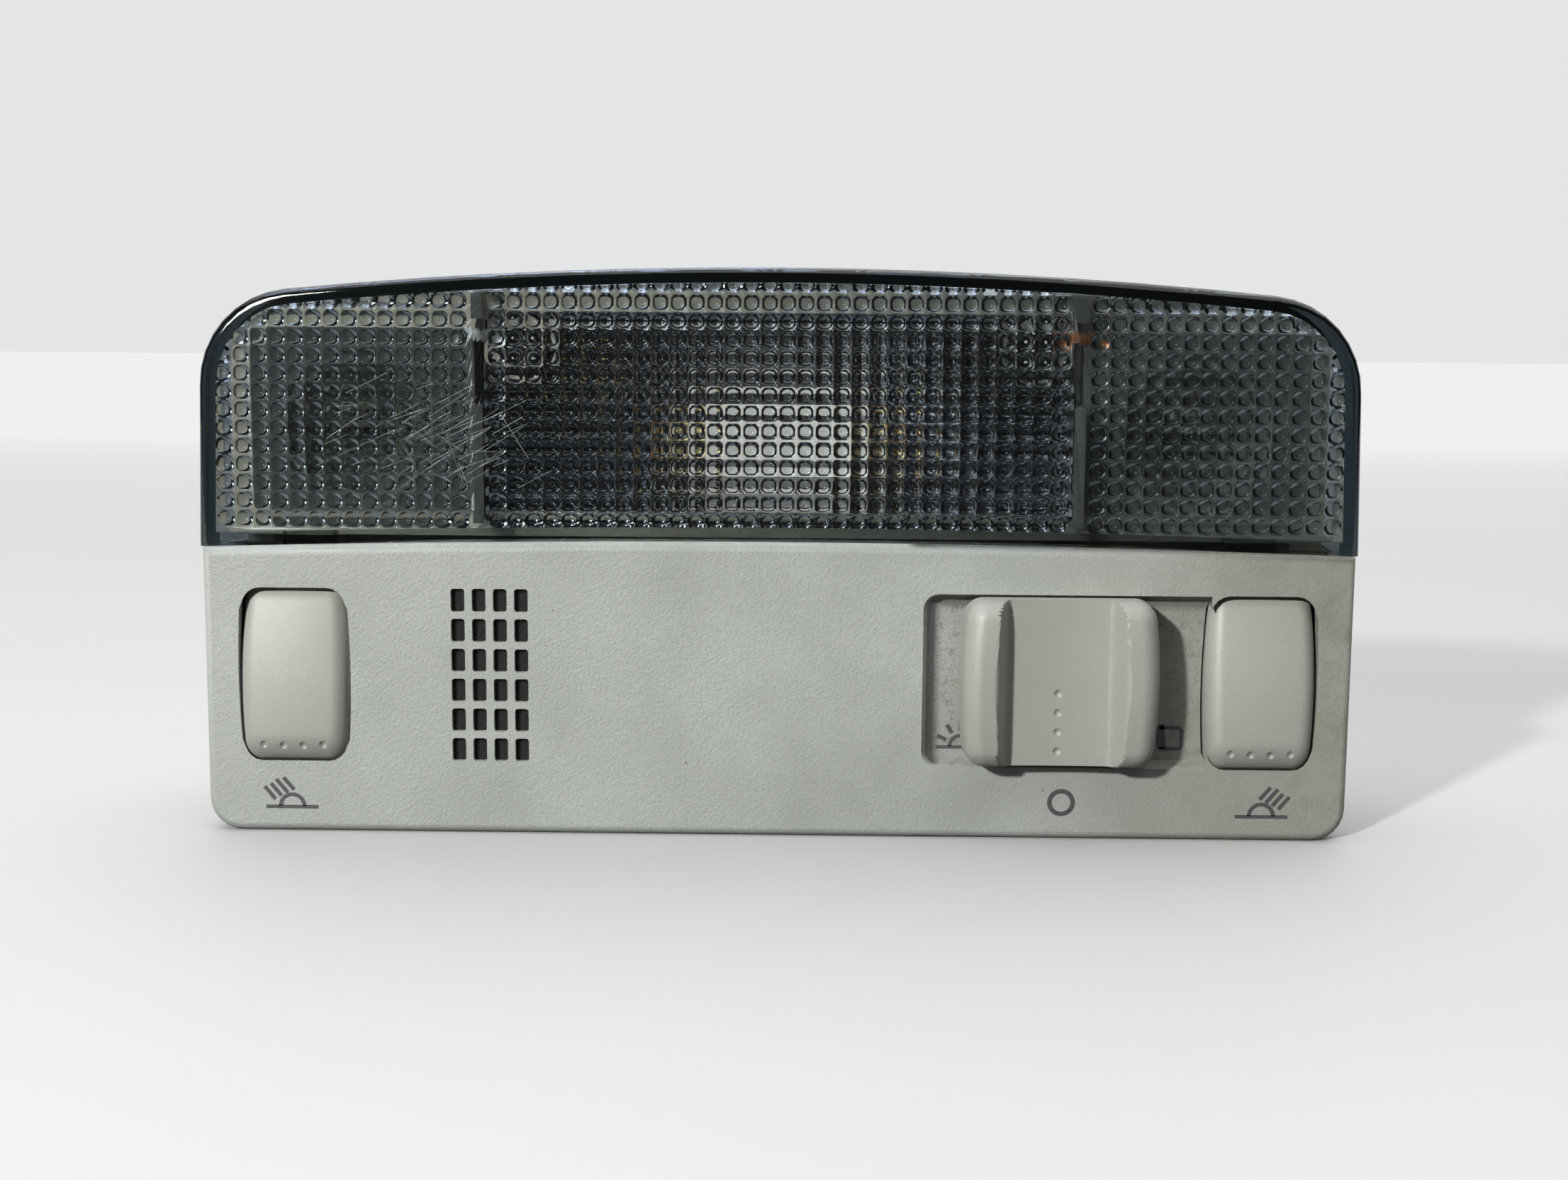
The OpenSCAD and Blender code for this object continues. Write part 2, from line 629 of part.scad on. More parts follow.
module housing() color([0.80, 0.78, 0.72]) stood() difference() {
  union() {
    difference() {
      union() {
        between(-skirt_depth - flange_t, -skirt_depth) polygon(light_pts(flange_inset));
        between(rear_z, -skirt_depth) polygon(rear_pts(0));
        between(-skirt_depth - eps, deck_z) polygon(lens_pts(lens_wall + fit, deck_low));
      }
      between(floor_z, -skirt_depth + 1) polygon(rear_pts(housing_t));
      between(-skirt_depth - eps, deck_z - deck_t)
        polygon(lens_pts(lens_wall + fit + housing_t, deck_low + barrier_t));
      // the reflectors' windows in the deck
      block([-centre_half, window_low, deck_z - deck_t - 1], [centre_half, window_high, deck_z + 1]);
      between(deck_z - deck_t - 1, deck_z + 1) side_window(0);
      mirror([1, 0, 0]) between(deck_z - deck_t - 1, deck_z + 1) side_window(0);
    }
    // wall between the lamps and the switches
    block([-rear_half + 1, deck_low, floor_z - eps], [rear_half - 1, deck_low + barrier_t, deck_z]);
    for (s = [-1, 1]) {
      // dividers
      intersection() {
        block([s * divider_x - divider_t / 2, deck_low, floor_z - eps],
          [s * divider_x + divider_t / 2, light_h, -skirt_depth + eps]);
        between(floor_z - 1, 0) polygon(rear_pts(1));
      }
      intersection() {
        block([s * divider_x - divider_t / 2, deck_low, -skirt_depth],
          [s * divider_x + divider_t / 2, light_h, deck_z]);
        between(-skirt_depth, deck_z) polygon(lens_pts(lens_wall + fit, deck_low));
      }
      intersection() {
        block([s * divider_x - divider_t / 2, lens_low_wall + fit, deck_z - eps],
          [s * divider_x + divider_t / 2, light_h, divider_z]);
        between(deck_z - 1, 0) polygon(lens_pts(lens_wall + fit, deck_low));
      }
      // tunnels of the fixing screws
      translate([s * screw_x, screw_y, floor_z - eps])
        cylinder(r = tunnel_r + tunnel_wall, h = deck_z - floor_z + eps);
      // locating hooks at the lower rear edge
      translate([s * hook_x - hook_w / 2, 0, rear_z]) {
        cube([hook_w, rear_inset + 1, hook_root]);
        cube([hook_w, hook_t, hook_root + hook_tip]);
      }
    }
  }
  for (s = [-1, 1]) {
    translate([s * screw_x, screw_y, rear_z - 1]) cylinder(r = screw_hole_r, h = housing_depth);
    translate([s * screw_x, screw_y, rear_z + screw_seat_t]) cylinder(r = tunnel_r, h = housing_depth);
    translate([s * reading_x, reading_y, rear_z - 1]) cylinder(r = holder_r + fit, h = housing_t + 2);
    // slot in each divider, and the step that carries the bridge contact
    block([s * divider_x - divider_t, bridge_y - 1 - bridge_slot_h, rear_z + rear_body - 4],
      [s * divider_x + divider_t, bridge_y - 1, 1]);
    block([s * divider_x - divider_t, bridge_y - 1.5, rim_z],
      [s * divider_x + divider_t, bridge_y + bridge_w + 1, 1]);
    // slots in the flange for the cover's tongues
    block([s * snap_x - snap_w / 2 - fit, skirt_t - fit, -skirt_depth - flange_t - 1],
      [s * snap_x + snap_w / 2 + fit, skirt_t + snap_t + snap_hook + 0.2, -skirt_depth + 1]);
  }
  // opening for the connector
  between(rear_z - 1, floor_z + 1) translate([plug_x, plug_y])
    square([plug_w + 2 * plug_wall + 0.2, plug_h + 2 * plug_wall + 0.2], center = true);
}

// the trough of the centre lamp: a parabola from rim to rim, with flat ends
trough_half = (window_high - window_low) / 2 - fit;
function trough(y) = trough_z + (deck_z - trough_z) * pow((y - window_mid) / trough_half, 2);
function trough_line(drop, half) =
  [for (i = [-12:12]) [window_mid + half * i / 12, trough(window_mid + trough_half * i / 12) - drop]];

module trough_shape(half, inner) {
  reach = trough_half - inner;
  high = inner > 0 ? 0 : rim_z;
  rotate([90, 0, 90]) linear_extrude(2 * half, center = true)
    polygon(concat(trough_line(reflector_t - inner, reach),
      [[window_mid + reach, high], [window_mid - reach, high]]));
}

module centre_reflector() color([0.85, 0.86, 0.88]) stood() difference() {
  union() {
    trough_shape(centre_half - fit, 0);
    block([-centre_half - rim_lap + 0.2, window_low - rim_lap, deck_z],
      [centre_half + rim_lap - 0.2, window_high + rim_lap, rim_z]);
  }
  trough_shape(centre_half - fit - reflector_t, reflector_t);
  for (s = [-1, 1]) {
    // corner notch round the screw tunnel
    on_side(s) translate([screw_x, screw_y, -far]) {
      cylinder(r = notch_r, h = 2 * far);
      translate([0, -notch_r, 0]) cube([far, far, 2 * far]);
      translate([-notch_r, 0, 0]) cube([far, far, 2 * far]);
    }
    // slots for the festoon clips
    block([s * (clip_x + clip_t / 2) - 0.7, festoon_y - clip_w / 2 - 0.4, -far],
      [s * (clip_x + clip_t / 2) + 0.7, festoon_y + clip_w / 2 + 0.4, festoon_z]);
  }
}

// a reading lamp's bowl: a parabola turned about the lamp's axis, on a plate
module bowl_profile() {
  inner = [for (i = [0:8]) let (r = neck_r + (bowl_r - neck_r) * i / 8)
    [r, deck_z - bowl_depth * (1 - pow((r - neck_r * 0.4) / (bowl_r - neck_r * 0.4), 2))]];
  outer = [for (i = [8:-1:0]) [inner[i][0] + reflector_t, inner[i][1] - reflector_t * (1 - i / 16)]];
  polygon(concat([[bowl_r, rim_z]], [for (i = [7:-1:0]) inner[i]],
    [for (i = [8:-1:0]) outer[i]], [[bowl_r + reflector_t, rim_z]]));
}
module reflector(side) color([0.75, 0.77, 0.78]) stood() on_side(side) {
  difference() {
    between(deck_z, rim_z) side_window(rim_lap);
    translate([reading_x, reading_y, deck_z - 1]) cylinder(r = bowl_r, h = 3);
  }
  translate([reading_x, reading_y, 0]) rotate_extrude($fn = 64) bowl_profile();
}
module on_side(side) {
  if (side > 0) children();
  else mirror([1, 0, 0]) children();
}

// the festoon bulb lies along x
module festoon_glass() color([0.93, 0.93, 0.90, 0.6]) stood()
  translate([0, festoon_y, festoon_z]) rotate([0, 90, 0]) rotate_extrude() {
    end = festoon_l / 2 - tip_l - cap_l;
    shoulder = end - 2.2;
    polygon([[0, -end], [cap_r - 0.6, -end], [festoon_r, -shoulder], [festoon_r, shoulder],
      [cap_r - 0.6, end], [0, end]]);
  }
module festoon_caps() color([0.80, 0.68, 0.42]) stood()
  translate([0, festoon_y, festoon_z]) for (s = [-1, 1]) on_side(s) rotate([0, 90, 0]) rotate_extrude()
    polygon([[0, festoon_l / 2 - tip_l - cap_l], [cap_r, festoon_l / 2 - tip_l - cap_l],
      [cap_r, festoon_l / 2 - tip_l], [1.5, festoon_l / 2 - 0.7], [1.1, festoon_l / 2], [0, festoon_l / 2]]);
module festoon_clip(side) color([0.70, 0.60, 0.35]) stood() on_side(side) difference() {
  translate([clip_x, festoon_y - clip_w / 2, floor_z]) {
    cube([clip_t, clip_w, festoon_z + 4 - floor_z]);
    cube([clip_foot, clip_w, clip_t]);
  }
  translate([clip_x - 1, festoon_y, festoon_z]) rotate([0, 90, 0]) cylinder(r = 2.1, h = 3);
}

// a reading lamp: its wedge base sits in the holder's slot
module at_reading(side) stood() translate([side * reading_x, reading_y, 0]) children();
module reading_bulb(side) color([0.90, 0.91, 0.90, 0.6]) at_reading(side) {
  rotate_extrude() polygon(concat([[0, holder_front + 0.4], [0.75 * reading_r, holder_front + 0.4],
    [reading_r, holder_front + 3]], arc(0, bulb_top - reading_r, reading_r, 0, 90, 7)));
  block([-foot_half, -wedge_t / 2, bulb_foot], [foot_half, wedge_t / 2, holder_front + 0.5]);
}
module bulb_holder(side) color([0.13, 0.13, 0.14]) at_reading(side) difference() {
  union() {
    translate([0, 0, rear_z - holder_out]) cylinder(r = holder_r + holder_lip, h = holder_out);
    translate([0, 0, rear_z - eps]) cylinder(r = holder_r, h = holder_front - rear_z + eps);
  }
  block([-foot_half - 0.1, -wedge_t / 2 - 0.1, bulb_foot],
    [foot_half + 0.1, wedge_t / 2 + 0.1, holder_front + 1]);
  // two grooves leave a grip bar on the flange
  for (s = [-1, 1]) let (y = s * holder_r * 0.66)
    block([-far, y - 1.6, rear_z - holder_out - 1], [far, y + 1.6, rear_z - holder_out + 1]);
}

module bridge_contact(side) color(side < 0 ? [0.75, 0.75, 0.74] : [0.62, 0.42, 0.27]) stood()
  block([side * divider_x - bridge_half, bridge_y - bridge_w / 2, rim_z],
    [side * divider_x + bridge_half, bridge_y + bridge_w / 2, rim_z + bridge_t]);

// the plate behind the cover, with the rockers' ears and the slide's rails
module switch_carrier() color([0.16, 0.16, 0.17]) stood() difference() {
  union() {
    block([-carrier_half, carrier_low, -skirt_depth], [carrier_half, cover_h - 1.6, carrier_z]);
    for (side = [-1, 1], s = [-1, 1])
      translate([side * rocker_x + s * (rocker_w / 2 + rocker_gap + ear_t / 2), rocker_y, 0]) {
        block([-ear_t / 2, -ear_r, carrier_z - eps], [ear_t / 2, ear_r, pivot_z]);
        translate([-ear_t / 2, 0, pivot_z]) rotate([0, 90, 0]) cylinder(r = ear_r, h = ear_t);
      }
    // rails beside the carriage
    for (s = [-1, 1])
      translate([knob_x, rocker_y + s * (carriage_h / 2 + slide_gap + rail_t / 2), 0])
        block([-carriage_w / 2 - knob_travel, -rail_t / 2, carrier_z - eps],
          [carriage_w / 2 + knob_travel, rail_t / 2, carriage_z - slide_gap]);
  }
  // passage of the tracks under the rails
  block([knob_x - track_w / 2 - 0.2, 0, carrier_z], [knob_x + track_w / 2 + 0.2, cover_h, track_z + 0.2]);
  for (side = [-1, 1])
    translate([side * rocker_x, rocker_y, pivot_z]) rotate([0, 90, 0])
      cylinder(r = pin_r + pin_fit, h = 2 * rocker_w, center = true);
  // lower corners cut to the cover's corners
  for (s = [-1, 1])
    translate([s * carrier_half, carrier_low, -skirt_depth]) rotate([0, 0, 45])
      cube([5, 5, 10], center = true);
}

// a strip of the tracks, track_w wide about x
module branch(x, low, high) block([x - track_w / 2, low, carrier_z], [x + track_w / 2, high, track_z]);
module feed_track() color([0.78, 0.66, 0.36]) stood() {
  block([-rocker_x, feed_y, carrier_z], [rocker_x, feed_y + track_w, track_z]);
  for (s = [-1, 1]) branch(s * rocker_x, feed_y, rocker_y - rocker_track_gap);
  branch(knob_x, feed_y, rocker_y - slide_track_gap);
}
module ground_track() color([0.72, 0.72, 0.70]) stood() {
  block([-rocker_x, ground_y, carrier_z], [rocker_x, ground_y + track_w, track_z]);
  for (s = [-1, 1]) branch(s * rocker_x, rocker_y + rocker_track_gap, ground_y + 1);
  branch(knob_x, rocker_y + slide_track_gap, ground_y + 1);
}

// a see-saw blade under each rocker
module rocker_contact(side) color([0.74, 0.60, 0.36]) stood() translate([side * rocker_x, rocker_y, 0])
  rotate([90, 0, 90]) linear_extrude(5, center = true)
    polygon([[-3.6, carrier_z], [3.6, carrier_z], [3.6, carrier_z + 0.4], [0.8, carrier_z + 0.9],
      [-0.8, carrier_z + 0.9], [-3.6, carrier_z + 0.4]]);

// right half of the knob's saddle: rounded flank, ridge, inner slope and wide valley
crest = knob_w / 2 - ridge_w / 2;
ridge_in = knob_w / 2 - ridge_w;
valley_half = ridge_in - slope_w;
function blend(t) = t * t * (3 - 2 * t);
function flank(i) = let (a = 90 * i / 8) [crest + ridge_w / 2 * pow(cos(a), 0.8),
  0.4 + (knob_proud - 0.4) * pow(sin(a), 0.8)];
function valley(x) = valley_proud + 0.25 * pow(x / valley_half, 2);
half_saddle = concat(
  [for (i = [0:8]) flank(i)],
  [[ridge_in + 0.6, knob_proud - 0.05]],
  [for (i = [8:-1:0]) let (t = i / 8, low = valley(valley_half))
    [valley_half + slope_w * t, low + (knob_proud - 0.15 - low) * blend(t)]],
  [for (i = [3:-1:0]) let (x = valley_half * i / 4) [x, valley(x)]]);
// the knob's outline: sides a little bowed, ends straight
function knob_pts() =
  let (w = knob_w / 2, h = knob_h / 2, r = knob_corner_r, reach = h - r,
    side = [for (i = [-4:4]) let (t = i / 4) [w - knob_barrel * t * t, reach * t]],
    corner = arc(w - knob_barrel - r, reach, r, 0, 90, 6),
    right = concat([for (i = [6:-1:0]) [corner[i][0], -corner[i][1]]], side, corner))
  concat(right, [for (i = [len(right) - 1:-1:0]) [-right[i][0], right[i][1]]]);
module slide_knob() color([0.75, 0.75, 0.73]) stood() translate([knob_x, rocker_y, 0]) {
  base = recess_floor_z + slide_gap;
  last = len(half_saddle) - 1;
  translate([0, knob_rise, 0]) difference() {
    intersection() {
      rotate([90, 0, 0]) linear_extrude(knob_h + 4, center = true)
        polygon(concat([[foot_w / 2, base]], half_saddle,
          [for (i = [last - 1:-1:0]) [-half_saddle[i][0], half_saddle[i][1]]], [[-foot_w / 2, base]]));
      between(base, knob_proud + 1) polygon(knob_pts());
      // the ridges run out softly at both ends
      rotate([90, 0, 90]) linear_extrude(knob_w + 2, center = true)
        crowned(knob_h, knob_proud + 0.01, ridge_crown, ridge_end_r, base - 1, knob_h / 2);
      // the foot narrows to clear the recess's sloping sides
      rotate([90, 0, 90]) linear_extrude(knob_w + 2, center = true)
        polygon([[-foot_h / 2, base], [foot_h / 2, base], [knob_h / 2, 0.3], [knob_h / 2, knob_proud + 1],
          [-knob_h / 2, knob_proud + 1], [-knob_h / 2, 0.3]]);
    }
    // feel marks down the valley
    for (i = [0:3])
      translate([-0.15, -knob_h * (0.064 + 0.1165 * i), valley_proud + 0.1]) sphere(mark_r, $fn = 20);
  }
  // stem through the slot
  block([-stem_w / 2, -stem_h / 2, carriage_z], [stem_w / 2, stem_h / 2, base + eps]);
}
module slide_carriage() color([0.86, 0.85, 0.80]) stood()
  translate([knob_x - carriage_w / 2, rocker_y - carriage_h / 2, carriage_z - carriage_t])
    cube([carriage_w, carriage_h, carriage_t]);
module slide_contact() color([0.78, 0.66, 0.36]) stood() translate([knob_x, rocker_y, 0]) {
  low = track_z + slide_gap;
  high = carriage_z - carriage_t;
  t = contact_t;
  end = 0.4 * carriage_h;
  bend = 0.25 * carriage_h;
  foot = 0.15 * carriage_h;
  rotate([90, 0, 90]) linear_extrude(6, center = true)
    polygon([[-end, high], [-end, high - t], [-bend, high - t], [-foot, low], [foot, low], [bend, high - t],
      [end, high - t], [end, high], [bend - 0.3, high], [foot - 0.4, low + t], [0.4 - foot, low + t],
      [0.3 - bend, high]]);
}

module plug_shape(wall, r) polygon(round_rect(plug_w + 2 * wall, plug_h + 2 * wall, r));
module connector_shell() color([0.12, 0.12, 0.13]) stood() translate([plug_x, plug_y, 0]) difference() {
  union() {
    between(rear_z, rear_z + plug_depth + plug_floor) plug_shape(plug_wall, 1);
    between(floor_z, floor_z + plug_flange_t) plug_shape(plug_wall + plug_flange_w, 1.5);
  }
  between(rear_z - 1, rear_z + plug_depth) square([plug_w, plug_h], center = true);
  connector_blades();
}
module connector_blades() for (i = [0:pin_count - 1])
  translate([(i - (pin_count - 1) / 2) * (plug_w - 4) / pin_count, 0, 0])
    block([-blade_w / 2, -blade_t / 2, rear_z + plug_depth * (1 - pin_share)],
      [blade_w / 2, blade_t / 2, rear_z + plug_depth + 0.2 * rear_body]);
module connector_pins() color([0.80, 0.74, 0.52]) stood()
  translate([plug_x, plug_y, 0]) connector_blades();

// bowed leaf beside the rear body, which holds the light in the roof
module retaining_spring(side) color([0.62, 0.63, 0.65]) stood() on_side(side) {
  w = 12;
  t = 0.8;
  bow = 3.8;
  // across from the wall, and along it as a share of the rear body's depth
  outer = [[t, 0.05], [t, 0.2], [bow + t, 0.55], [bow + t, 0.65], [0.6 + t, 0.87]];
  inner = [[0.6, 0.87], [bow, 0.63], [bow, 0.57], [0, 0.23], [0, 0.05]];
  translate([rear_half, rocker_y + 4.75 + w, rear_z]) rotate([90, 0, 0]) linear_extrude(w)
    polygon([for (p = concat(outer, inner)) [p[0], p[1] * rear_body]]);
}

front_cover();
lens();
housing();
centre_reflector();
reflector(-1);  // left_reflector
reflector(1);  // right_reflector
festoon_glass();
festoon_caps();
festoon_clip(-1);  // left_festoon_clip
festoon_clip(1);  // right_festoon_clip
reading_bulb(-1);  // left_reading_bulb
reading_bulb(1);  // right_reading_bulb
bulb_holder(-1);  // left_bulb_holder
bulb_holder(1);  // right_bulb_holder
bridge_contact(-1);  // left_bridge_contact
bridge_contact(1);  // right_bridge_contact
switch_carrier();
feed_track();
ground_track();
rocker(-1);  // left_rocker
rocker(1);  // right_rocker
rocker_contact(-1);  // left_rocker_contact
rocker_contact(1);  // right_rocker_contact
slide_knob();
slide_carriage();
slide_contact();
vent_filter();
connector_shell();
connector_pins();
retaining_spring(-1);  // left_retaining_spring
retaining_spring(1);  // right_retaining_spring
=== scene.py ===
# %% [markdown]
# # Roof lamp of a car
# The real object is a ceiling light: a smoke-tinted acrylic lens over three lamp chambers, and under it
# a grey moulded cover with two rocker buttons, a slide knob and a vent grid. The imported solids already
# have its form, so the lesson dresses them: it smooths them, carves the lens's optics finely, prints the
# small signs, and gives every part the finish of the material that it is made of. Some finishes also
# carry painted shade.

# %% Load the frame
import json
import math
import random

import bmesh
import bpy
from mathutils import Matrix, Vector


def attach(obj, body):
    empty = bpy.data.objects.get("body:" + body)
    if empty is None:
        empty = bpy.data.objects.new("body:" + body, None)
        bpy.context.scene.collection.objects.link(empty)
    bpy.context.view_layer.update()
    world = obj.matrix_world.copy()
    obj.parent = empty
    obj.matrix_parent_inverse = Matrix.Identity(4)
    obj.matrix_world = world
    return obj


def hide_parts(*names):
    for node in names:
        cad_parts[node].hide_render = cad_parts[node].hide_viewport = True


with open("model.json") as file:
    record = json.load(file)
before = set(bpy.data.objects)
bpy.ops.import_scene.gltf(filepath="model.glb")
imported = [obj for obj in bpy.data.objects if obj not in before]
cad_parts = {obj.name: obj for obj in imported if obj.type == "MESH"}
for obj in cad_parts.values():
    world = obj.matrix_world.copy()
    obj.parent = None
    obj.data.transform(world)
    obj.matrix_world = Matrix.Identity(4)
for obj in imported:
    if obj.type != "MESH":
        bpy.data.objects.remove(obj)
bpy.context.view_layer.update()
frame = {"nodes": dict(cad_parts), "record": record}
MM = 0.001
# the face of the cover lies in this plane, in mm
FACE_Y = -15.0

# %% [markdown]
# ## Camera
# A camera is placed as the photographer held it: 30 cm in front, just under the top edge, looking down
# by 7 degrees. Its three axes are given as one matrix, because the camera also leans by under a degree.

# %% Camera
FOCAL_PX = 2700
IMAGE_W_PX = 2212
SENSOR_W = 36
CAMERA_PLACE = Vector((4.6, -311.1, 76.6)) * MM
CAMERA_RIGHT = Vector((0.99989, 0.01281, 0.00785))
CAMERA_UP = Vector((-0.00939, 0.12462, 0.99216))
CAMERA_AHEAD = Vector((-0.01174, 0.99212, -0.12472))

camera_data = bpy.data.cameras.new("camera")
camera_data.sensor_fit = "HORIZONTAL"
camera_data.sensor_width = SENSOR_W
camera_data.lens = FOCAL_PX / IMAGE_W_PX * SENSOR_W
camera_data.clip_start = 0.01
camera_data.clip_end = 60
camera = bpy.data.objects.new("camera", camera_data)
bpy.context.scene.collection.objects.link(camera)
turn = Matrix((CAMERA_RIGHT, CAMERA_UP, -CAMERA_AHEAD)).transposed()
camera.matrix_world = Matrix.Translation(CAMERA_PLACE) @ turn.to_4x4()
bpy.context.scene.camera = camera
print("lens, mm:", round(camera_data.lens, 2))

# %% [markdown]
# ## Small tools
# Colours are written as they look on a screen, in sRGB hex, and one function turns them to the linear
# values that the renderer adds up. One more function adds a shader node, sets it and links it.


# %% Colours and nodes
def linear(hex_colour):
    """An sRGB hex colour as linear RGBA."""
    channels = [int(hex_colour[i : i + 2], 16) / 255 for i in (1, 3, 5)]
    return tuple(c / 12.92 if c <= 0.04045 else ((c + 0.055) / 1.055) ** 2.4 for c in channels) + (1.0,)


def add(tree, kind, sockets=None, out=None, **settings):
    """Adds a node. sockets maps an input to a value, or to the output that feeds it. Returns an output."""
    node = tree.nodes.new("ShaderNode" + kind)
    for key, value in settings.items():
        setattr(node, key, value)
    for key, value in (sockets or {}).items():
        if isinstance(value, bpy.types.NodeSocket):
            tree.links.new(value, node.inputs[key])
        else:
            node.inputs[key].default_value = value
    return node.outputs[out] if out else next(socket for socket in node.outputs if socket.enabled)


def new_material(name):
    """A material, its node tree, its Principled shader and its Object coordinates."""
    material = bpy.data.materials.new(name)
    material.use_nodes = True
    tree = material.node_tree
    place = add(tree, "TexCoord", out="Object")
    return material, tree, tree.nodes["Principled BSDF"], place


def per_mm(size):
    """The scale that gives a pattern features of this size in mm."""
    return 1 / (size * MM)


def window(low, high, to_low=0.0, to_high=1.0):
    """Sockets of a Map Range node: low..high becomes to_low..to_high."""
    return {"From Min": low, "From Max": high, "To Min": to_low, "To Max": to_high}


def window_mm(low, high, to_low=0.0, to_high=1.0):
    """The same for a place on the light, its low and high in mm."""
    return window(low * MM, high * MM, to_low, to_high)


# %% [markdown]
# ## Moulded plastic
# The cover and the buttons are ABS, moulded in an etched tool that leaves a fine grain. It scatters light
# evenly, so the highlight is broad and soft. Years of use leave specks and a little grime, most of it in
# the recess of the slide knob. The recess's two ends and the cover's right end also get painted shade. The
# grain is really 0.2 mm; on the cover it is drawn at 0.4 mm and on the buttons at 0.5 mm, so that it shows.

# %% Moulded plastics
ABS_IOR = 1.53
# the patterns' sizes in mm
CLOUD = 22
SPECK_CELL, SPECK_PATCH = 4.2, 9
SMEAR, STAIN = 1.6, 7
# a speck's largest radius, as a share of its cell
SPECK_R = 0.055
# where grime and painted shade lie in the recess of the slide knob, in mm: its left side, its depth
# behind the face, and the two ends that the light from the upper left doesn't reach, which get painted
# shade
RECESS_SIDE_X = (20, 22)
RECESS_DEPTH = (0.2, 0.9)
LEFT_END_SHADE_X = (24.7, 26.0)
UPPER_END_SHADE_Z = (36.2, 37.2)
# the cover darkens and yellows from here to its right edge; the darkening is painted shade of the light
# falling off from the left
SHADED_YELLOWED_X = (38, 92)
# painted shade on the housing inside the lens, for the shadow of the lens and its rim: darker from left to
# right and from the front to the depth
PAINTED_SHADE_X = (-70, 40)
PAINTED_SHADE_DEPTH = (8.6, 9.4)


def moulded_plastic(name, colour, deep, grain_mm, grain_depth_mm, roughness, specks=0.0):
    """A plastic with a moulded grain. Returns its material and the colour that the nodes give it."""
    material, tree, shader, place = new_material(name)
    grain = add(tree, "TexNoise", {"Vector": place, "Scale": per_mm(grain_mm), "Roughness": 0.6})
    cloud = add(tree, "TexNoise", {"Vector": place, "Scale": per_mm(CLOUD), "Detail": 3})
    share = add(tree, "MapRange", {"Value": cloud, **window(0.35, 0.7)})
    shade = add(tree, "Mix", {"Factor": share, "A": linear(colour), "B": linear(deep)}, data_type="RGBA")
    share = add(tree, "MapRange", {"Value": grain, **window(0.35, 0.7, 0.0, 0.6)})
    shade = add(tree, "Mix", {"Factor": share, "A": shade, "B": linear(deep)}, data_type="RGBA")
    if specks:
        # a few specks of dirt, each in a cell of its own, and none in clean patches
        dust = add(tree, "TexVoronoi", {"Vector": place, "Scale": per_mm(SPECK_CELL)})
        patch = add(tree, "TexNoise", {"Vector": place, "Scale": per_mm(SPECK_PATCH), "Detail": 1})
        size = add(tree, "MapRange", {"Value": patch, **window(0.5, 0.75, 0.0, SPECK_R)})
        near = add(tree, "Math", {0: dust, 1: size}, operation="LESS_THAN")
        share = add(tree, "Math", {0: near, 1: specks}, operation="MULTIPLY")
        shade = add(tree, "Mix", {"Factor": share, "A": shade, "B": linear("#5a5348")}, data_type="RGBA")
    relief = add(tree, "Bump", {"Height": grain, "Distance": grain_depth_mm * MM, "Strength": 1})
    shader.inputs["Roughness"].default_value = roughness
    shader.inputs["IOR"].default_value = ABS_IOR
    tree.links.new(relief, shader.inputs["Normal"])
    tree.links.new(shade, shader.inputs["Base Color"])
    return material, shade


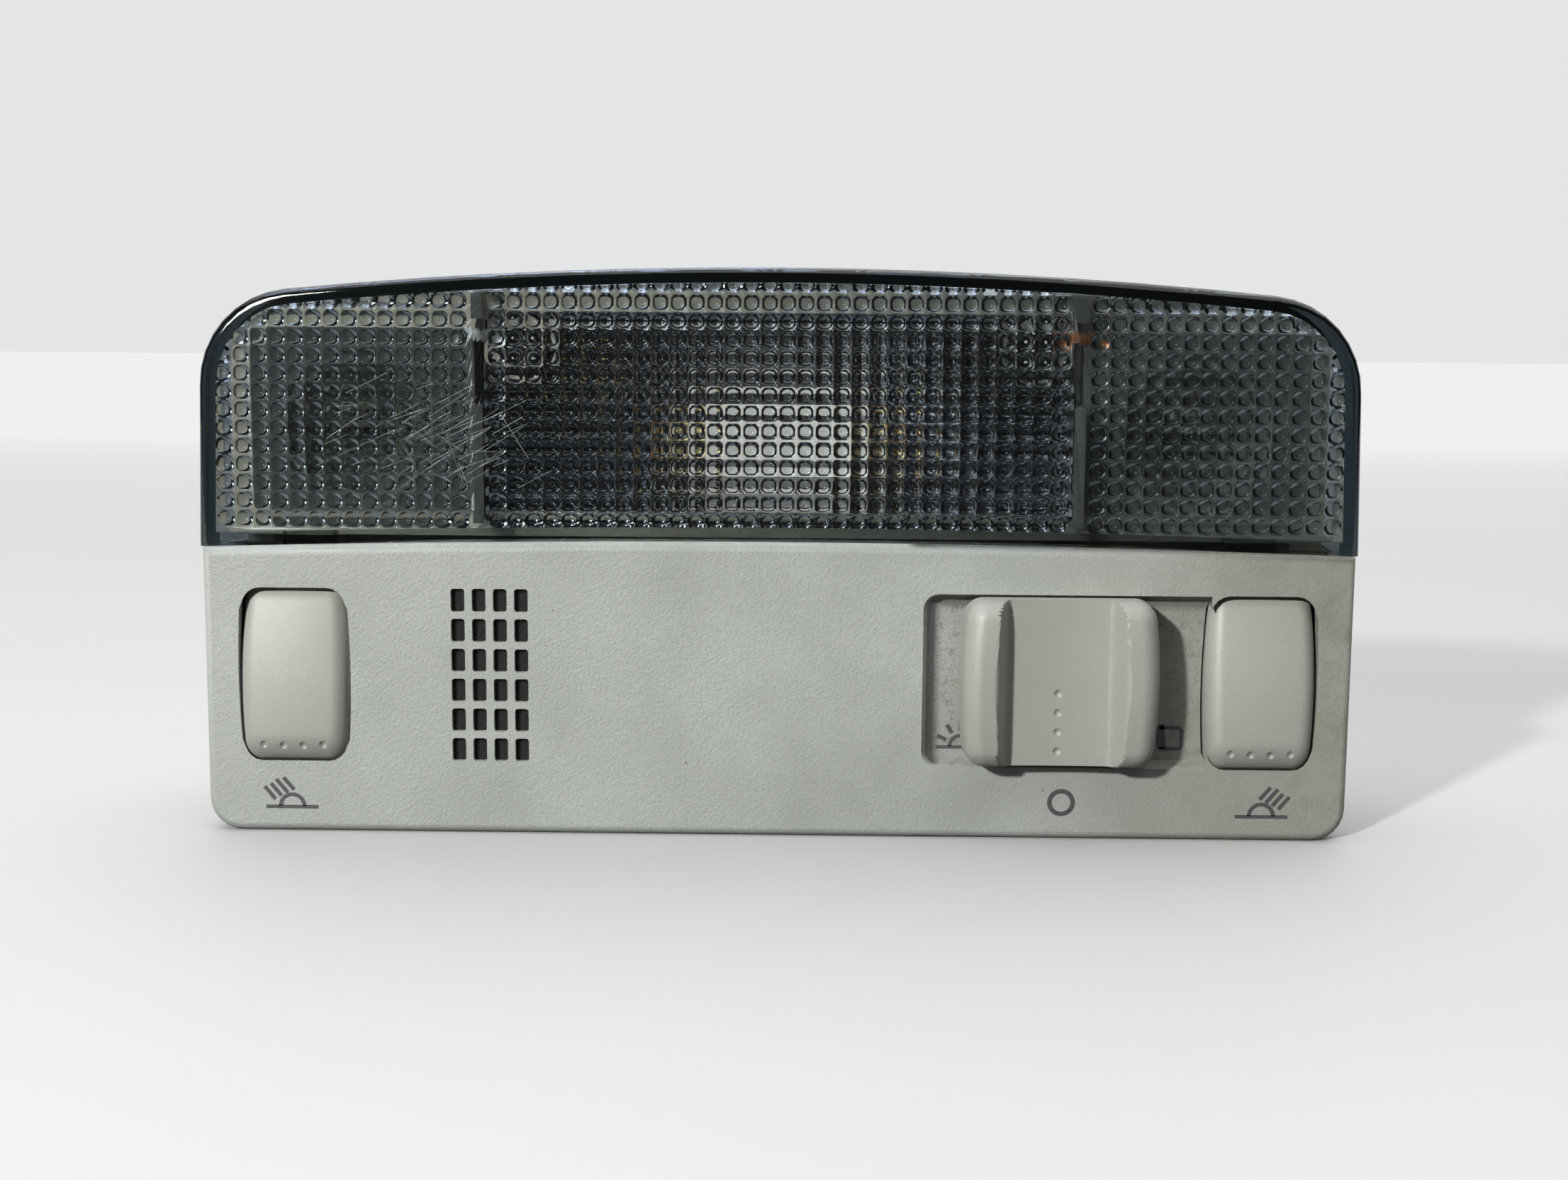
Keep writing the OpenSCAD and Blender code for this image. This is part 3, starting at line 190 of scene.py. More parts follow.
def grained_abs_cover_painted_shade():
    """Warm light grey ABS. Grime lies on the floor of the recess; its ends and the cover's right end get
    painted shade, and the right end also yellows.
    """
    material, shade = moulded_plastic("grained_abs_cover_painted_shade", "#bcc1bd", "#a6aba6", 0.4, 0.1, 0.52, specks=0.9)
    tree = material.node_tree
    place = add(tree, "TexCoord", out="Object")
    across = add(tree, "SeparateXYZ", {"Vector": place}, out="X")
    inward = add(tree, "SeparateXYZ", {"Vector": place}, out="Y")
    height = add(tree, "SeparateXYZ", {"Vector": place}, out="Z")
    # smears all over the recess's floor
    recess_y = [FACE_Y + depth for depth in RECESS_DEPTH]
    recess = add(tree, "MapRange", {"Value": inward, **window_mm(*recess_y)})
    right = add(tree, "MapRange", {"Value": across, **window_mm(*RECESS_SIDE_X)})
    smear = add(tree, "TexNoise", {"Vector": place, "Scale": per_mm(SMEAR), "Detail": 6, "Roughness": 0.8})
    smear = add(tree, "MapRange", {"Value": smear, **window(0.5, 0.66, 0.25, 0.75)})
    share = add(tree, "Math", {0: recess, 1: right}, operation="MULTIPLY")
    share = add(tree, "Math", {0: share, 1: smear}, operation="MULTIPLY")
    shade = add(tree, "Mix", {"Factor": share, "A": shade, "B": linear("#6b685e")}, data_type="RGBA")
    # painted shade in the recess's two darkest ends, where the light from the upper left doesn't reach
    left_end_shade = add(tree, "MapRange", {"Value": across, **window_mm(*LEFT_END_SHADE_X, 0.88, 0.0)})
    upper_end_shade = add(tree, "MapRange", {"Value": height, **window_mm(*UPPER_END_SHADE_Z, 0.0, 0.7)})
    share = add(tree, "Math", {0: left_end_shade, 1: upper_end_shade}, operation="MAXIMUM")
    share = add(tree, "Math", {0: share, 1: recess}, operation="MULTIPLY")
    share = add(tree, "Math", {0: share, 1: right}, operation="MULTIPLY")
    shade = add(tree, "Mix", {"Factor": share, "A": shade, "B": linear("#3a3c3b")}, data_type="RGBA")
    # the right end, darker and yellower: painted shade of the light falling off from the left, and a
    # yellowed tint
    edge = add(tree, "MapRange", {"Value": across, **window_mm(*SHADED_YELLOWED_X)})
    stain = add(tree, "TexNoise", {"Vector": place, "Scale": per_mm(STAIN), "Detail": 4, "Roughness": 0.7})
    stain = add(tree, "MapRange", {"Value": stain, **window(0.4, 0.75, 0.55, 0.95)})
    share = add(tree, "Math", {0: edge, 1: stain}, operation="MULTIPLY")
    shade = add(tree, "Mix", {"Factor": share, "A": shade, "B": linear("#858070")}, data_type="RGBA")
    tree.links.new(shade, tree.nodes["Principled BSDF"].inputs["Base Color"])
    return material


def cream_with_painted_shade():
    """Cream ABS inside the lens, with painted shade for the shadow of the lens and its rim: darker towards
    the right and the depth.
    """
    material, shade = moulded_plastic("cream_abs_painted_shade", "#a9a28d", "#8d8672", 0.8, 0.02, 0.48)
    tree = material.node_tree
    place = add(tree, "TexCoord", out="Object")
    across = add(tree, "SeparateXYZ", {"Vector": place}, out="X")
    inward = add(tree, "SeparateXYZ", {"Vector": place}, out="Y")
    right = add(tree, "MapRange", {"Value": across, **window_mm(*PAINTED_SHADE_X, 0.1, 0.95)})
    deep_y = [FACE_Y + depth for depth in PAINTED_SHADE_DEPTH]
    deep = add(tree, "MapRange", {"Value": inward, **window_mm(*deep_y)})
    share = add(tree, "Math", {0: right, 1: deep}, operation="MAXIMUM")
    # the painted shade, standing for the shadow that the lens, which casts none here, and its rim would
    # give
    shade = add(tree, "Mix", {"Factor": share, "A": shade, "B": linear("#383a35")}, data_type="RGBA")
    tree.links.new(shade, tree.nodes["Principled BSDF"].inputs["Base Color"])
    return material


cover_abs = grained_abs_cover_painted_shade()
button_abs = moulded_plastic("smooth_abs_buttons", "#b0b1ab", "#a5a6a0", 0.5, 0.03, 0.5, specks=0.5)[0]
cream_abs = moulded_plastic("cream_abs_housing", "#d2c7ad", "#bfb294", 0.8, 0.02, 0.48)[0]
inner_cream_painted_shade = cream_with_painted_shade()
black_pa = moulded_plastic("black_glass_filled_polyamide", "#1c1d1f", "#26272a", 0.6, 0.02, 0.45)[0]
heat_greyed = moulded_plastic("heat_greyed_polyamide", "#8c8e86", "#73756d", 0.6, 0.02, 0.6)[0]
# a dark sheet that stands for painted shade where the lens's shade falls between the chambers
shade_sheet = moulded_plastic("dark_sheet_of_painted_shade", "#20241f", "#191c19", 0.4, 0.05, 0.8)[0]
print("plastics made")

# %% [markdown]
# ## Smoke acrylic
# The lens is clear acrylic with a dye in it. A dye darkens light by the length of its way through, so it
# is made as an absorbing volume: the face, 2.5 mm thick, still lets light through, and the rim, seen
# along its 15 mm, turns almost black. That is just how the real rim looks.

# %% Acrylic and glass
DYE = "#7b9099"
DYE_PER_M = 320


def smoke_acrylic():
    """Dyed acrylic, polished in the mould, with the faint waves that moulding leaves."""
    material, tree, shader, place = new_material("smoke_dyed_acrylic")
    shader.inputs["Base Color"].default_value = (1, 1, 1, 1)
    # the little that does not pass is scattered by a film of dust
    shader.inputs["Transmission Weight"].default_value = 0.998
    shader.inputs["IOR"].default_value = 1.49
    shader.inputs["Roughness"].default_value = 0.05
    waves = add(tree, "TexNoise", {"Vector": place, "Scale": per_mm(6), "Detail": 1})
    relief = add(tree, "Bump", {"Height": waves, "Distance": 0.004 * MM, "Strength": 1})
    tree.links.new(relief, shader.inputs["Normal"])
    dye = add(tree, "VolumeAbsorption", {"Color": linear(DYE), "Density": DYE_PER_M})
    tree.links.new(dye, tree.nodes["Material Output"].inputs["Volume"])
    return material


def lamp_glass(name, transmission, roughness, glow):
    """Soda glass of a bulb, a little clouded by use."""
    material, tree, shader, place = new_material(name)
    cloud = add(tree, "TexNoise", {"Vector": place, "Scale": per_mm(4), "Detail": 2})
    share = add(tree, "MapRange", {"Value": cloud, **window(0.4, 0.7)})
    clear, clouded = linear("#fbfaf4"), linear("#e8e6dc")
    shade = add(tree, "Mix", {"Factor": share, "A": clear, "B": clouded}, data_type="RGBA")
    tree.links.new(shade, shader.inputs["Base Color"])
    shader.inputs["Transmission Weight"].default_value = transmission
    shader.inputs["IOR"].default_value = 1.52
    shader.inputs["Roughness"].default_value = roughness
    shader.inputs["Emission Color"].default_value = linear("#fff7ec")
    shader.inputs["Emission Strength"].default_value = glow
    return material


# %% [markdown]
# ## Metals and foam
# The reflectors are plastic with a thin film of aluminium, which shows faint ripples. The contacts are
# stamped strip: brass for the lamp clips and pins, copper bronze for the switch, bright spring steel.
# Behind the vent lies black foam.


# %% Metals and foam
def stamped_metal(name, colour, dull, roughness, ripple_mm, ripple_depth_mm):
    """A metal with tarnish in clouds and a fine ripple left by rolling."""
    material, tree, shader, place = new_material(name)
    cloud = add(tree, "TexNoise", {"Vector": place, "Scale": per_mm(5), "Detail": 4, "Roughness": 0.6})
    tarnish = add(tree, "MapRange", {"Value": cloud, **window(0.4, 0.72)})
    shade = add(tree, "Mix", {"Factor": tarnish, "A": linear(colour), "B": linear(dull)}, data_type="RGBA")
    rough = add(tree, "MapRange", {"Value": tarnish, **window(0, 1, roughness * 0.8, roughness * 1.3)})
    ripple = add(tree, "TexNoise", {"Vector": place, "Scale": per_mm(ripple_mm)})
    relief = add(tree, "Bump", {"Height": ripple, "Distance": ripple_depth_mm * MM, "Strength": 1})
    tree.links.new(shade, shader.inputs["Base Color"])
    tree.links.new(rough, shader.inputs["Roughness"])
    tree.links.new(relief, shader.inputs["Normal"])
    shader.inputs["Metallic"].default_value = 1
    return material


def open_foam():
    """Black open-cell foam behind the vent. Its cells are 0.5 mm, and light is lost in them."""
    material, tree, shader, place = new_material("black_open_cell_foam")
    cells = add(tree, "TexVoronoi", {"Vector": place, "Scale": per_mm(0.5)})
    share = add(tree, "MapRange", {"Value": cells, **window(0.0, 0.6)})
    pore, web = linear("#030303"), linear("#141414")
    shade = add(tree, "Mix", {"Factor": share, "A": pore, "B": web}, data_type="RGBA")
    relief = add(tree, "Bump", {"Height": cells, "Distance": 0.2 * MM, "Strength": 1})
    tree.links.new(shade, shader.inputs["Base Color"])
    tree.links.new(relief, shader.inputs["Normal"])
    shader.inputs["Roughness"].default_value = 0.95
    return material


# the record's material slots and the finish each one takes
finish_of_slot = {
    "cover_plastic": cover_abs,
    "button_plastic": button_abs,
    "smoke_lens": smoke_acrylic(),
    "housing_plastic": cream_abs,
    "reflector_metal": stamped_metal("dulled_aluminised_film", "#868b86", "#6c706b", 0.6, 9, 0.01),
    "bulb_glass": lamp_glass("clear_lamp_glass", 1.0, 0.02, 0.0),
    "brass": stamped_metal("stamped_brass", "#c9a45e", "#9c7b3f", 0.28, 0.8, 0.01),
    "copper_bronze": stamped_metal("rolled_copper_bronze", "#b5754a", "#7f4d2e", 0.3, 0.8, 0.01),
    "spring_steel": stamped_metal("bright_spring_steel", "#c4c6c8", "#9ea1a3", 0.26, 0.8, 0.01),
    "black_plastic": black_pa,
    "filter_foam": open_foam(),
}
# the long bulb is frosted; its glow stands for the light that its trough gathers on it
finish_of_node = {
    "festoon_glass": lamp_glass("frosted_lamp_glass", 0.8, 0.25, 0.24),
    "festoon_caps": stamped_metal("bright_lamp_brass", "#e6cf9c", "#b7935a", 0.16, 0.8, 0.01),
    "centre_reflector": stamped_metal("bright_aluminised_film", "#a6a8ad", "#888a90", 0.07, 9, 0.01),
}
print("finishes:", len(finish_of_slot) + len(finish_of_node))

# %% [markdown]
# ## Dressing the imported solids
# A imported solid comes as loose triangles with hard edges. A copy is merged, and its normals are smoothed
# wherever two faces meet at a shallow angle, so arcs read as arcs. Weighted normals keep the big flat
# faces flat. The copy stands in for the solid, which stays in the physics model.

# %% Copies of the solids
slot_of_node = {part["node"]: part["material_slot"] for part in frame["record"]["subparts"]}
body_of_node = {n: b for b, nodes in frame["record"]["behaviour"]["bodies"].items() for n in nodes}
SHARP_ANGLE = math.radians(32)
FLAT_ANGLE = math.radians(0.2)
WELD_GAP = 0.002
# these are modelled again further on
RESHAPED = ("lens", "left_rocker", "right_rocker", "slide_knob")


def merged_copy(node):
    """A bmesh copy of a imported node, its loose triangles joined and the flat ones made one face."""
    bm = bmesh.new()
    bm.from_mesh(frame["nodes"][node].data)
    bmesh.ops.remove_doubles(bm, verts=bm.verts, dist=WELD_GAP * MM)
    bmesh.ops.dissolve_limit(bm, angle_limit=FLAT_ANGLE, verts=bm.verts, edges=bm.edges)
    return bm


def piece_from(bm, name, body, material):
    """Turns a bmesh into a piece that rides on a body."""
    mesh = bpy.data.meshes.new(name)
    bm.to_mesh(mesh)
    bm.free()
    mesh.shade_smooth()
    mesh.set_sharp_from_angle(angle=SHARP_ANGLE)
    mesh.materials.clear()
    mesh.materials.append(material)
    piece = bpy.data.objects.new(name, mesh)
    bpy.context.scene.collection.objects.link(piece)
    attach(piece, body)
    return piece


def dressed(node):
    """A smoothed copy of a node, in the finish of its slot."""
    slot = slot_of_node[node]
    finish = finish_of_node.get(node, finish_of_slot[slot])
    piece = piece_from(merged_copy(node), node + "_moulding", body_of_node[node], finish)
    weighted = piece.modifiers.new("flat faces stay flat", "WEIGHTED_NORMAL")
    weighted.keep_sharp = True
    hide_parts(node)
    return piece


dressed_pieces = {node: dressed(node) for node in slot_of_node if node not in RESHAPED}
print("dressed solids:", len(dressed_pieces))

# %% [markdown]
# ## Painted shade and heat
# Some pieces carry a second finish. What lies inside the lens gets painted shade, darker towards the right
# and the depth. A dark sheet of painted shade covers the dividers' front edges, the rims of the screw
# tunnels, the middle bowl's cut-outs and the flat plates round the bowls, where the lens's shade falls
# between the chambers. The bulb holders' fronts, deep in the bowls, are greyed by heat. The faces are
# picked by their place, so the solids need no marks.

# %% Second finishes
# places of the picked faces, in mm
FLANGE_Y = -1.05
CHAMBER_BACK_Y, CHAMBER_HALF_W, CHAMBER_Z = 18.9, 82, (46.9, 82)
DIVIDER_X, DIVIDER_FRONT_Y = (45.5, 47.9), -6.2
TUNNEL_X, TUNNEL_Z = (33.5, 46), (69, 82)
CUT_OUT_X, CUT_OUT_Z = (34, 47), 70
PLATE_BACK_Y, PLATE_FLATNESS = -4, 0.95
HOLDER_FRONT_Y = 14.5


def within(span, value):
    """True if a value lies between the two ends of a span."""
    return span[0] < value < span[1]


# each of the next five tells by a face's centre, x, y and z in mm, and its normal if it is picked
def inside_lens(x, y, z, normal):
    in_chamber = abs(x) < CHAMBER_HALF_W and within(CHAMBER_Z, z)
    return y < FLANGE_Y or (y < CHAMBER_BACK_Y and in_chamber)


def shade_sheet_rim(x, y, z, normal):
    on_divider = within(DIVIDER_X, abs(x)) and y < DIVIDER_FRONT_Y
    return on_divider or (within(TUNNEL_X, abs(x)) and within(TUNNEL_Z, z))


def shade_sheet_cut_out(x, y, z, normal):
    return within(CUT_OUT_X, abs(x)) and z > CUT_OUT_Z


def shade_sheet_plate(x, y, z, normal):
    return abs(normal.y) > PLATE_FLATNESS and y < PLATE_BACK_Y


def holder_front(x, y, z, normal):
    return y < HOLDER_FRONT_Y


def refinish(node, material, picked):
    """Gives a second finish to the faces that picked chooses, by their centre in mm and their normal."""
    mesh = dressed_pieces[node].data
    mesh.materials.append(material)
    for face in mesh.polygons:
        if picked(*(v / MM for v in face.center), face.normal):
            face.material_index = len(mesh.materials) - 1


# the housing inside the lens gets painted shade
refinish("housing", inner_cream_painted_shade, inside_lens)
# a dark sheet of painted shade on the dividers' fronts, the tunnels' rims, the middle bowl's cut-outs and
# the plates round the side bowls
refinish("housing", shade_sheet, shade_sheet_rim)
refinish("centre_reflector", shade_sheet, shade_sheet_cut_out)
for side_name in ("left", "right"):
    refinish(side_name + "_reflector", shade_sheet, shade_sheet_plate)
    refinish(side_name + "_bulb_holder", heat_greyed, holder_front)

# %% [markdown]
# ## The buttons
# The rockers and the slide knob are the softest forms here, so they are moulded anew. A box is cut into
# fine squares, and every vertex slides outwards until it meets a rounded form. The form is a formula: the
# distance to each flat or curved side, with neighbouring sides blended by a rolling-ball edge.

# %% Buttons
# sizes in mm, as in the solids; x goes across a button, y up and z out of the face
PIVOT = Vector((75.8, -8.0, 25.25))
ROCKER_TILT = math.radians(-6.7)
ROCKER_W, ROCKER_BARREL, ROCKER_END_R = 17.3, 0.75, 15.1
ROCKER_TOP, ROCKER_SKIRT, ROCKER_WALL = 8.6, -1.8, 1.5
# the top falls off by so much at so far from the middle, along and across
ROCKER_FALL_Y, ROCKER_REACH_Y = 0.9, 12.3
ROCKER_FALL_X, ROCKER_REACH_X = 0.35, 6.45
ROCKER_CORNER_R, ROCKER_EDGE_R = 2.6, 2.3
ROCKER_CORE = 2.5
ROCKER_BOX, ROCKER_CUTS = (16.4, 28.6, 10.2), (39, 65, 15)
HOLLOW_BOX, HOLLOW_CUTS = (13.4, 25.6, 8.7), (12, 20, 5)
ROCKER_WEB = ((-7.35, -1.1, -2.2), (7.35, 1.1, 6))
ROCKER_PLUNGER = ((-3, -1.1, -4), (3, 1.1, -2))
PIN_R, PIN_L, PIN_OUT = 1.5, 2.45, 0.62
# four marks in a row that sags in the middle
ROCKER_MARK_Y, ROCKER_MARK_PITCH, ROCKER_MARK_SAG = -11.8, 3.1, 0.12

KNOB_PLACE = Vector((43.9, -15.0, 25.65))
KNOB_HALF_W, KNOB_HALF_H, KNOB_BASE = 15.5, 13.0, -2.0
KNOB_BOW, KNOB_BOW_REACH, KNOB_DRAFT = 0.5, 9.8, 0.075
# below this height the foot narrows, by so much at its base
FOOT_TOP, FOOT_IN_X, FOOT_IN_Y = 0.3, 2.1, 1.0
RIDGE_TOP, RIDGE_W, RIDGE_FALL, RIDGE_REACH = 8.0, 5.2, 0.6, 9.4
VALLEY_TOP, VALLEY_DISH, SLOPE_W = 3.4, 0.25, 2.6
KNOB_CORNER_R, KNOB_EDGE_R = 2.8, 2.7
KNOB_CORE = 1.5
KNOB_BOX, KNOB_CUTS = (29.0, 24.0, 10.0), (89, 49, 17)
# the valley is pressed in above this height
SADDLE_FROM = 1.6
# the stem is drawn from the slot's middle, which lies a little below the knob's
KNOB_STEM = ((-4, -6.17, -4.2), (4, 5.37, -1.95))
KNOB_MARK_X, KNOB_MARK_Y, KNOB_MARK_PITCH = -0.15, -1.66, 3.03

MARK_R, MARK_DEPTH = 0.6, 0.36
# the top is cut finer this near to a mark, and nothing is pressed below this height
MARK_CUT_R, MARK_CUTS, MARK_FLOOR = 1.0, 3, 2
# a vertex moves out by this many times at most, found by halving
FARTHEST, HALVINGS = 1.6, 22
# from a button's axes to the light's: out of the face is towards -Y
STOOD = Matrix(((1, 0, 0, 0), (0, 0, -1, 0), (0, 1, 0, 0), (0, 0, 0, 1)))


def rolled(a, b, r):
    """Joins two sides of a form, given by the distances a and b outside them, with an edge of radius r."""
    return min(max(a, b), -r) + math.hypot(max(a + r, 0.0), max(b + r, 0.0))


def rocker_form(p, shrink):
    """How far a point lies outside a rocker, measured from the pivot."""
    reach = math.hypot(p.y, p.z)
    ends = reach - ROCKER_END_R
    sides = abs(p.x) - ROCKER_W / 2 + ROCKER_BARREL * (reach / ROCKER_END_R) ** 2
    crown = ROCKER_FALL_Y * (p.y / ROCKER_REACH_Y) ** 2 + ROCKER_FALL_X * (p.x / ROCKER_REACH_X) ** 2
    top = p.z - ROCKER_TOP + crown
    return rolled(rolled(ends, sides, ROCKER_CORNER_R), top, ROCKER_EDGE_R) + shrink


def knob_form(p, shrink):
    """How far a point lies outside the knob, its valley still filled up."""
    foot = max(0.0, FOOT_TOP - p.z) / (FOOT_TOP - KNOB_BASE)
    bow = KNOB_BOW * (p.y / KNOB_BOW_REACH) ** 2
    sides = abs(p.x) - KNOB_HALF_W + bow + FOOT_IN_X * foot + KNOB_DRAFT * max(p.z, 0.0)
    ends = abs(p.y) - KNOB_HALF_H + FOOT_IN_Y * foot
    top = p.z - RIDGE_TOP + RIDGE_FALL * (p.y / RIDGE_REACH) ** 2
    return rolled(rolled(sides, ends, KNOB_CORNER_R), top, KNOB_EDGE_R) + shrink


def saddle(x):
    """Height of the knob's valley and inner slopes at x."""
    foot_x = KNOB_HALF_W - RIDGE_W - SLOPE_W
    t = min(max((abs(x) - foot_x) / SLOPE_W, 0.0), 1.0)
    low = VALLEY_TOP + VALLEY_DISH * min(abs(x) / foot_x, 1.0) ** 2
    return low + (RIDGE_TOP - low) * t * t * (3 - 2 * t)


def fine_box(size, cuts, base):
    """A box without a bottom, size and cuts per axis, standing on the height base."""
    bm = bmesh.new()
    place = Matrix.Translation((0, 0, base + size[2] / 2)) @ Matrix.Diagonal((*size, 1))
    bmesh.ops.create_cube(bm, size=1, matrix=place)
    bottom = [f for f in bm.faces if f.normal.z < -0.5]
    bmesh.ops.delete(bm, geom=bottom, context="FACES_ONLY")
    for axis in range(3):
        along = [e for e in bm.edges if abs((e.verts[1].co - e.verts[0].co).normalized()[axis]) > 0.9]
        bmesh.ops.subdivide_edges(bm, edges=along, cuts=cuts[axis], use_grid_fill=True)
    return bm


def swell(bm, form, shrink, core):
    """Slides every vertex outwards from the form's middle, core high, until it meets the surface."""
    for vert in bm.verts:
        start = Vector((0, 0, min(vert.co.z, core)))
        way = vert.co - start
        near, far = 0.0, FARTHEST
        for _ in range(HALVINGS):
            half = (near + far) / 2
            if form(start + way * half, shrink) > 0:
                far = half
            else:
                near = half
        vert.co = start + way * near


def press_marks(bm, marks):
    """Presses small round marks into the top, after cutting the squares round them finely."""
    spots = [Vector(mark) for mark in marks]
    top = [f for f in bm.faces if f.normal.z > 0.5]
    close = [f for f in top if any((f.calc_center_median().xy - m).length < MARK_CUT_R for m in spots)]
    edges = list({e for f in close for e in f.edges})
    bmesh.ops.subdivide_edges(bm, edges=edges, cuts=MARK_CUTS, use_grid_fill=True)
    for vert in bm.verts:
        off = min((vert.co.xy - m).length for m in spots)
        if off < MARK_R and vert.co.z > MARK_FLOOR:
            vert.co.z -= MARK_DEPTH * (1 - (off / MARK_R) ** 2)


def add_box(bm, low, high):
    """A closed box between two corners."""
    low, high = Vector(low), Vector(high)
    scale = Matrix.Diagonal((*(high - low), 1))
    bmesh.ops.create_cube(bm, size=1, matrix=Matrix.Translation((low + high) / 2) @ scale)


def add_pin(bm, side):
    """One of the two round pins that a rocker turns on."""
    lying = Matrix.Rotation(math.pi / 2, 4, "Y")
    place = Matrix.Translation((side * (ROCKER_W / 2 + PIN_OUT), 0, 0)) @ lying
    size = {"radius1": PIN_R, "radius2": PIN_R, "depth": PIN_L}
    bmesh.ops.create_cone(bm, cap_ends=True, segments=32, matrix=place, **size)


def rocker_piece(side, name, node, body):
    """A hollow rocker with its web, its plunger and its two pins."""
    bm = fine_box(ROCKER_BOX, ROCKER_CUTS, ROCKER_SKIRT)
    swell(bm, rocker_form, 0.0, ROCKER_CORE)
    bm.normal_update()
    marks_x = [(i - 1.5) * ROCKER_MARK_PITCH for i in range(4)]
    marks_y = [ROCKER_MARK_Y - ROCKER_MARK_SAG * (i in (1, 2)) for i in range(4)]
    press_marks(bm, zip(marks_x, marks_y))
    inner = fine_box(HOLLOW_BOX, HOLLOW_CUTS, ROCKER_SKIRT)
    swell(inner, rocker_form, ROCKER_WALL, ROCKER_CORE)
    bmesh.ops.reverse_faces(inner, faces=inner.faces)
    hollow = bpy.data.meshes.new(name + "_hollow")
    inner.to_mesh(hollow)
    inner.free()
    bm.from_mesh(hollow)
    bpy.data.meshes.remove(hollow)
    rims = [e for e in bm.edges if e.is_boundary]
    bmesh.ops.bridge_loops(bm, edges=rims)
    add_box(bm, *ROCKER_WEB)
    add_box(bm, *ROCKER_PLUNGER)
    add_pin(bm, -1)
    add_pin(bm, 1)
    place = Matrix.Translation((side * PIVOT.x, PIVOT.y, PIVOT.z))
    tilt = Matrix.Rotation(ROCKER_TILT, 4, "X")
    bmesh.ops.transform(bm, matrix=Matrix.Scale(MM, 4) @ place @ STOOD @ tilt, verts=bm.verts)
    bmesh.ops.recalc_face_normals(bm, faces=bm.faces)
    piece = piece_from(bm, name, body, button_abs)
    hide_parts(node)
    return piece


def knob_piece():
    """The slide knob: a rounded block, its valley pressed in, on a stem."""
    bm = fine_box(KNOB_BOX, KNOB_CUTS, KNOB_BASE)
    swell(bm, knob_form, 0.0, KNOB_CORE)
    for vert in bm.verts:
        if vert.co.z > SADDLE_FROM:
            vert.co.z = min(vert.co.z, saddle(vert.co.x))
    bm.normal_update()
    press_marks(bm, [(KNOB_MARK_X, KNOB_MARK_Y - KNOB_MARK_PITCH * i) for i in range(4)])
    bmesh.ops.holes_fill(bm, edges=[e for e in bm.edges if e.is_boundary])
    add_box(bm, *KNOB_STEM)
    place = Matrix.Scale(MM, 4) @ Matrix.Translation(KNOB_PLACE)
    bmesh.ops.transform(bm, matrix=place @ STOOD, verts=bm.verts)
    bmesh.ops.recalc_face_normals(bm, faces=bm.faces)
    piece = piece_from(bm, "slide_knob_moulding", "slider", button_abs)
    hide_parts("slide_knob")
    return piece


rocker_piece(-1, "left_rocker_moulding", "left_rocker", "left_button")
rocker_piece(1, "right_rocker_moulding", "right_rocker", "right_button")
knob_piece()
print("buttons moulded: 3")

# %% [markdown]
# ## The lens and its pillows
# The inner face of the lens is a field of small domes, cut square, that spread the light of the bulbs.
# The solid has a low pyramid for each one. Here every pyramid is cut into small triangles, and each
# vertex is moved to the height of a dome, so that the light breaks as it does in the real lens.

# %% Lens
# sizes in mm: a pillow's side, and the height of the solid's pyramids
PILLOW, PYRAMID_RISE = 2.81, 0.9
DOME_RISE, DOME_BASE_R, DOME_POWER = 1.1, 1.47, 2.7
LENS_BACK_Y = FACE_Y + 1.9
# the middle field is counted from its centre, the side fields from this distance outwards
MIDDLE_COLUMNS = 32
SIDE_FIELD_X = 48.15
FIRST_ROW_Z = 48.45
PILLOW_CUTS = 4
# how far the pyramids' sides face backwards
SLOPE_FACING = (0.6, 0.97)


def dome_height(x, z):
    """Height of the pillows in mm at a point of the lens, x and z in mm."""
    if abs(x) < SIDE_FIELD_X - 1:
        across = (x + MIDDLE_COLUMNS * PILLOW / 2) % PILLOW
    else:
        across = (abs(x) - SIDE_FIELD_X) % PILLOW
    up = (z - FIRST_ROW_Z) % PILLOW
    off = math.hypot(across - PILLOW / 2, up - PILLOW / 2) / DOME_BASE_R
    return DOME_RISE * max(0.0, 1 - off**DOME_POWER)


def pillow_lens():
    """The lens's solid, its pyramids turned to domes. Their faces are told from the rest by an index."""
    bm = merged_copy("lens")
    bm.normal_update()
    slopes = []
    for face in bm.faces:
        height = face.calc_center_median().y / MM - LENS_BACK_Y
        if within((0, PYRAMID_RISE), height) and within(SLOPE_FACING, face.normal.y):
            slopes.append(face)
            face.material_index = 1
    edges = list({edge for face in slopes for edge in face.edges})
    bmesh.ops.subdivide_edges(bm, edges=edges, cuts=PILLOW_CUTS, use_grid_fill=True)
    raised = {v for face in bm.faces if face.material_index == 1 for v in face.verts}
    for vert in raised:
        vert.co.y = (LENS_BACK_Y + dome_height(vert.co.x / MM, vert.co.z / MM)) * MM
    for face in bm.faces:
        face.material_index = 0
    print("pillow slopes:", len(slopes), "faces of the lens:", len(bm.faces))
    return bm


lens = piece_from(pillow_lens(), "smoke_lens", "root", finish_of_slot["smoke_lens"])
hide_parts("lens")
# the renderer can't aim lamps through glass, so the lens lets their light reach the chambers
lens.visible_shadow = False

# %% [markdown]
# ## Printed signs
# The signs are thin layers of dark grey ink, printed with a pad: an O, two lamps with slanting rays, and
# two more that the knob half hides. They are made from bars and from arcs turned with spin, and lie a
# hair above the plastic.

# %% Signs
# sizes in mm: the ink's thickness, and how deep its surface lies behind the face
INK_T = 0.03
ON_FACE, ON_RECESS = 0.01, 2.31


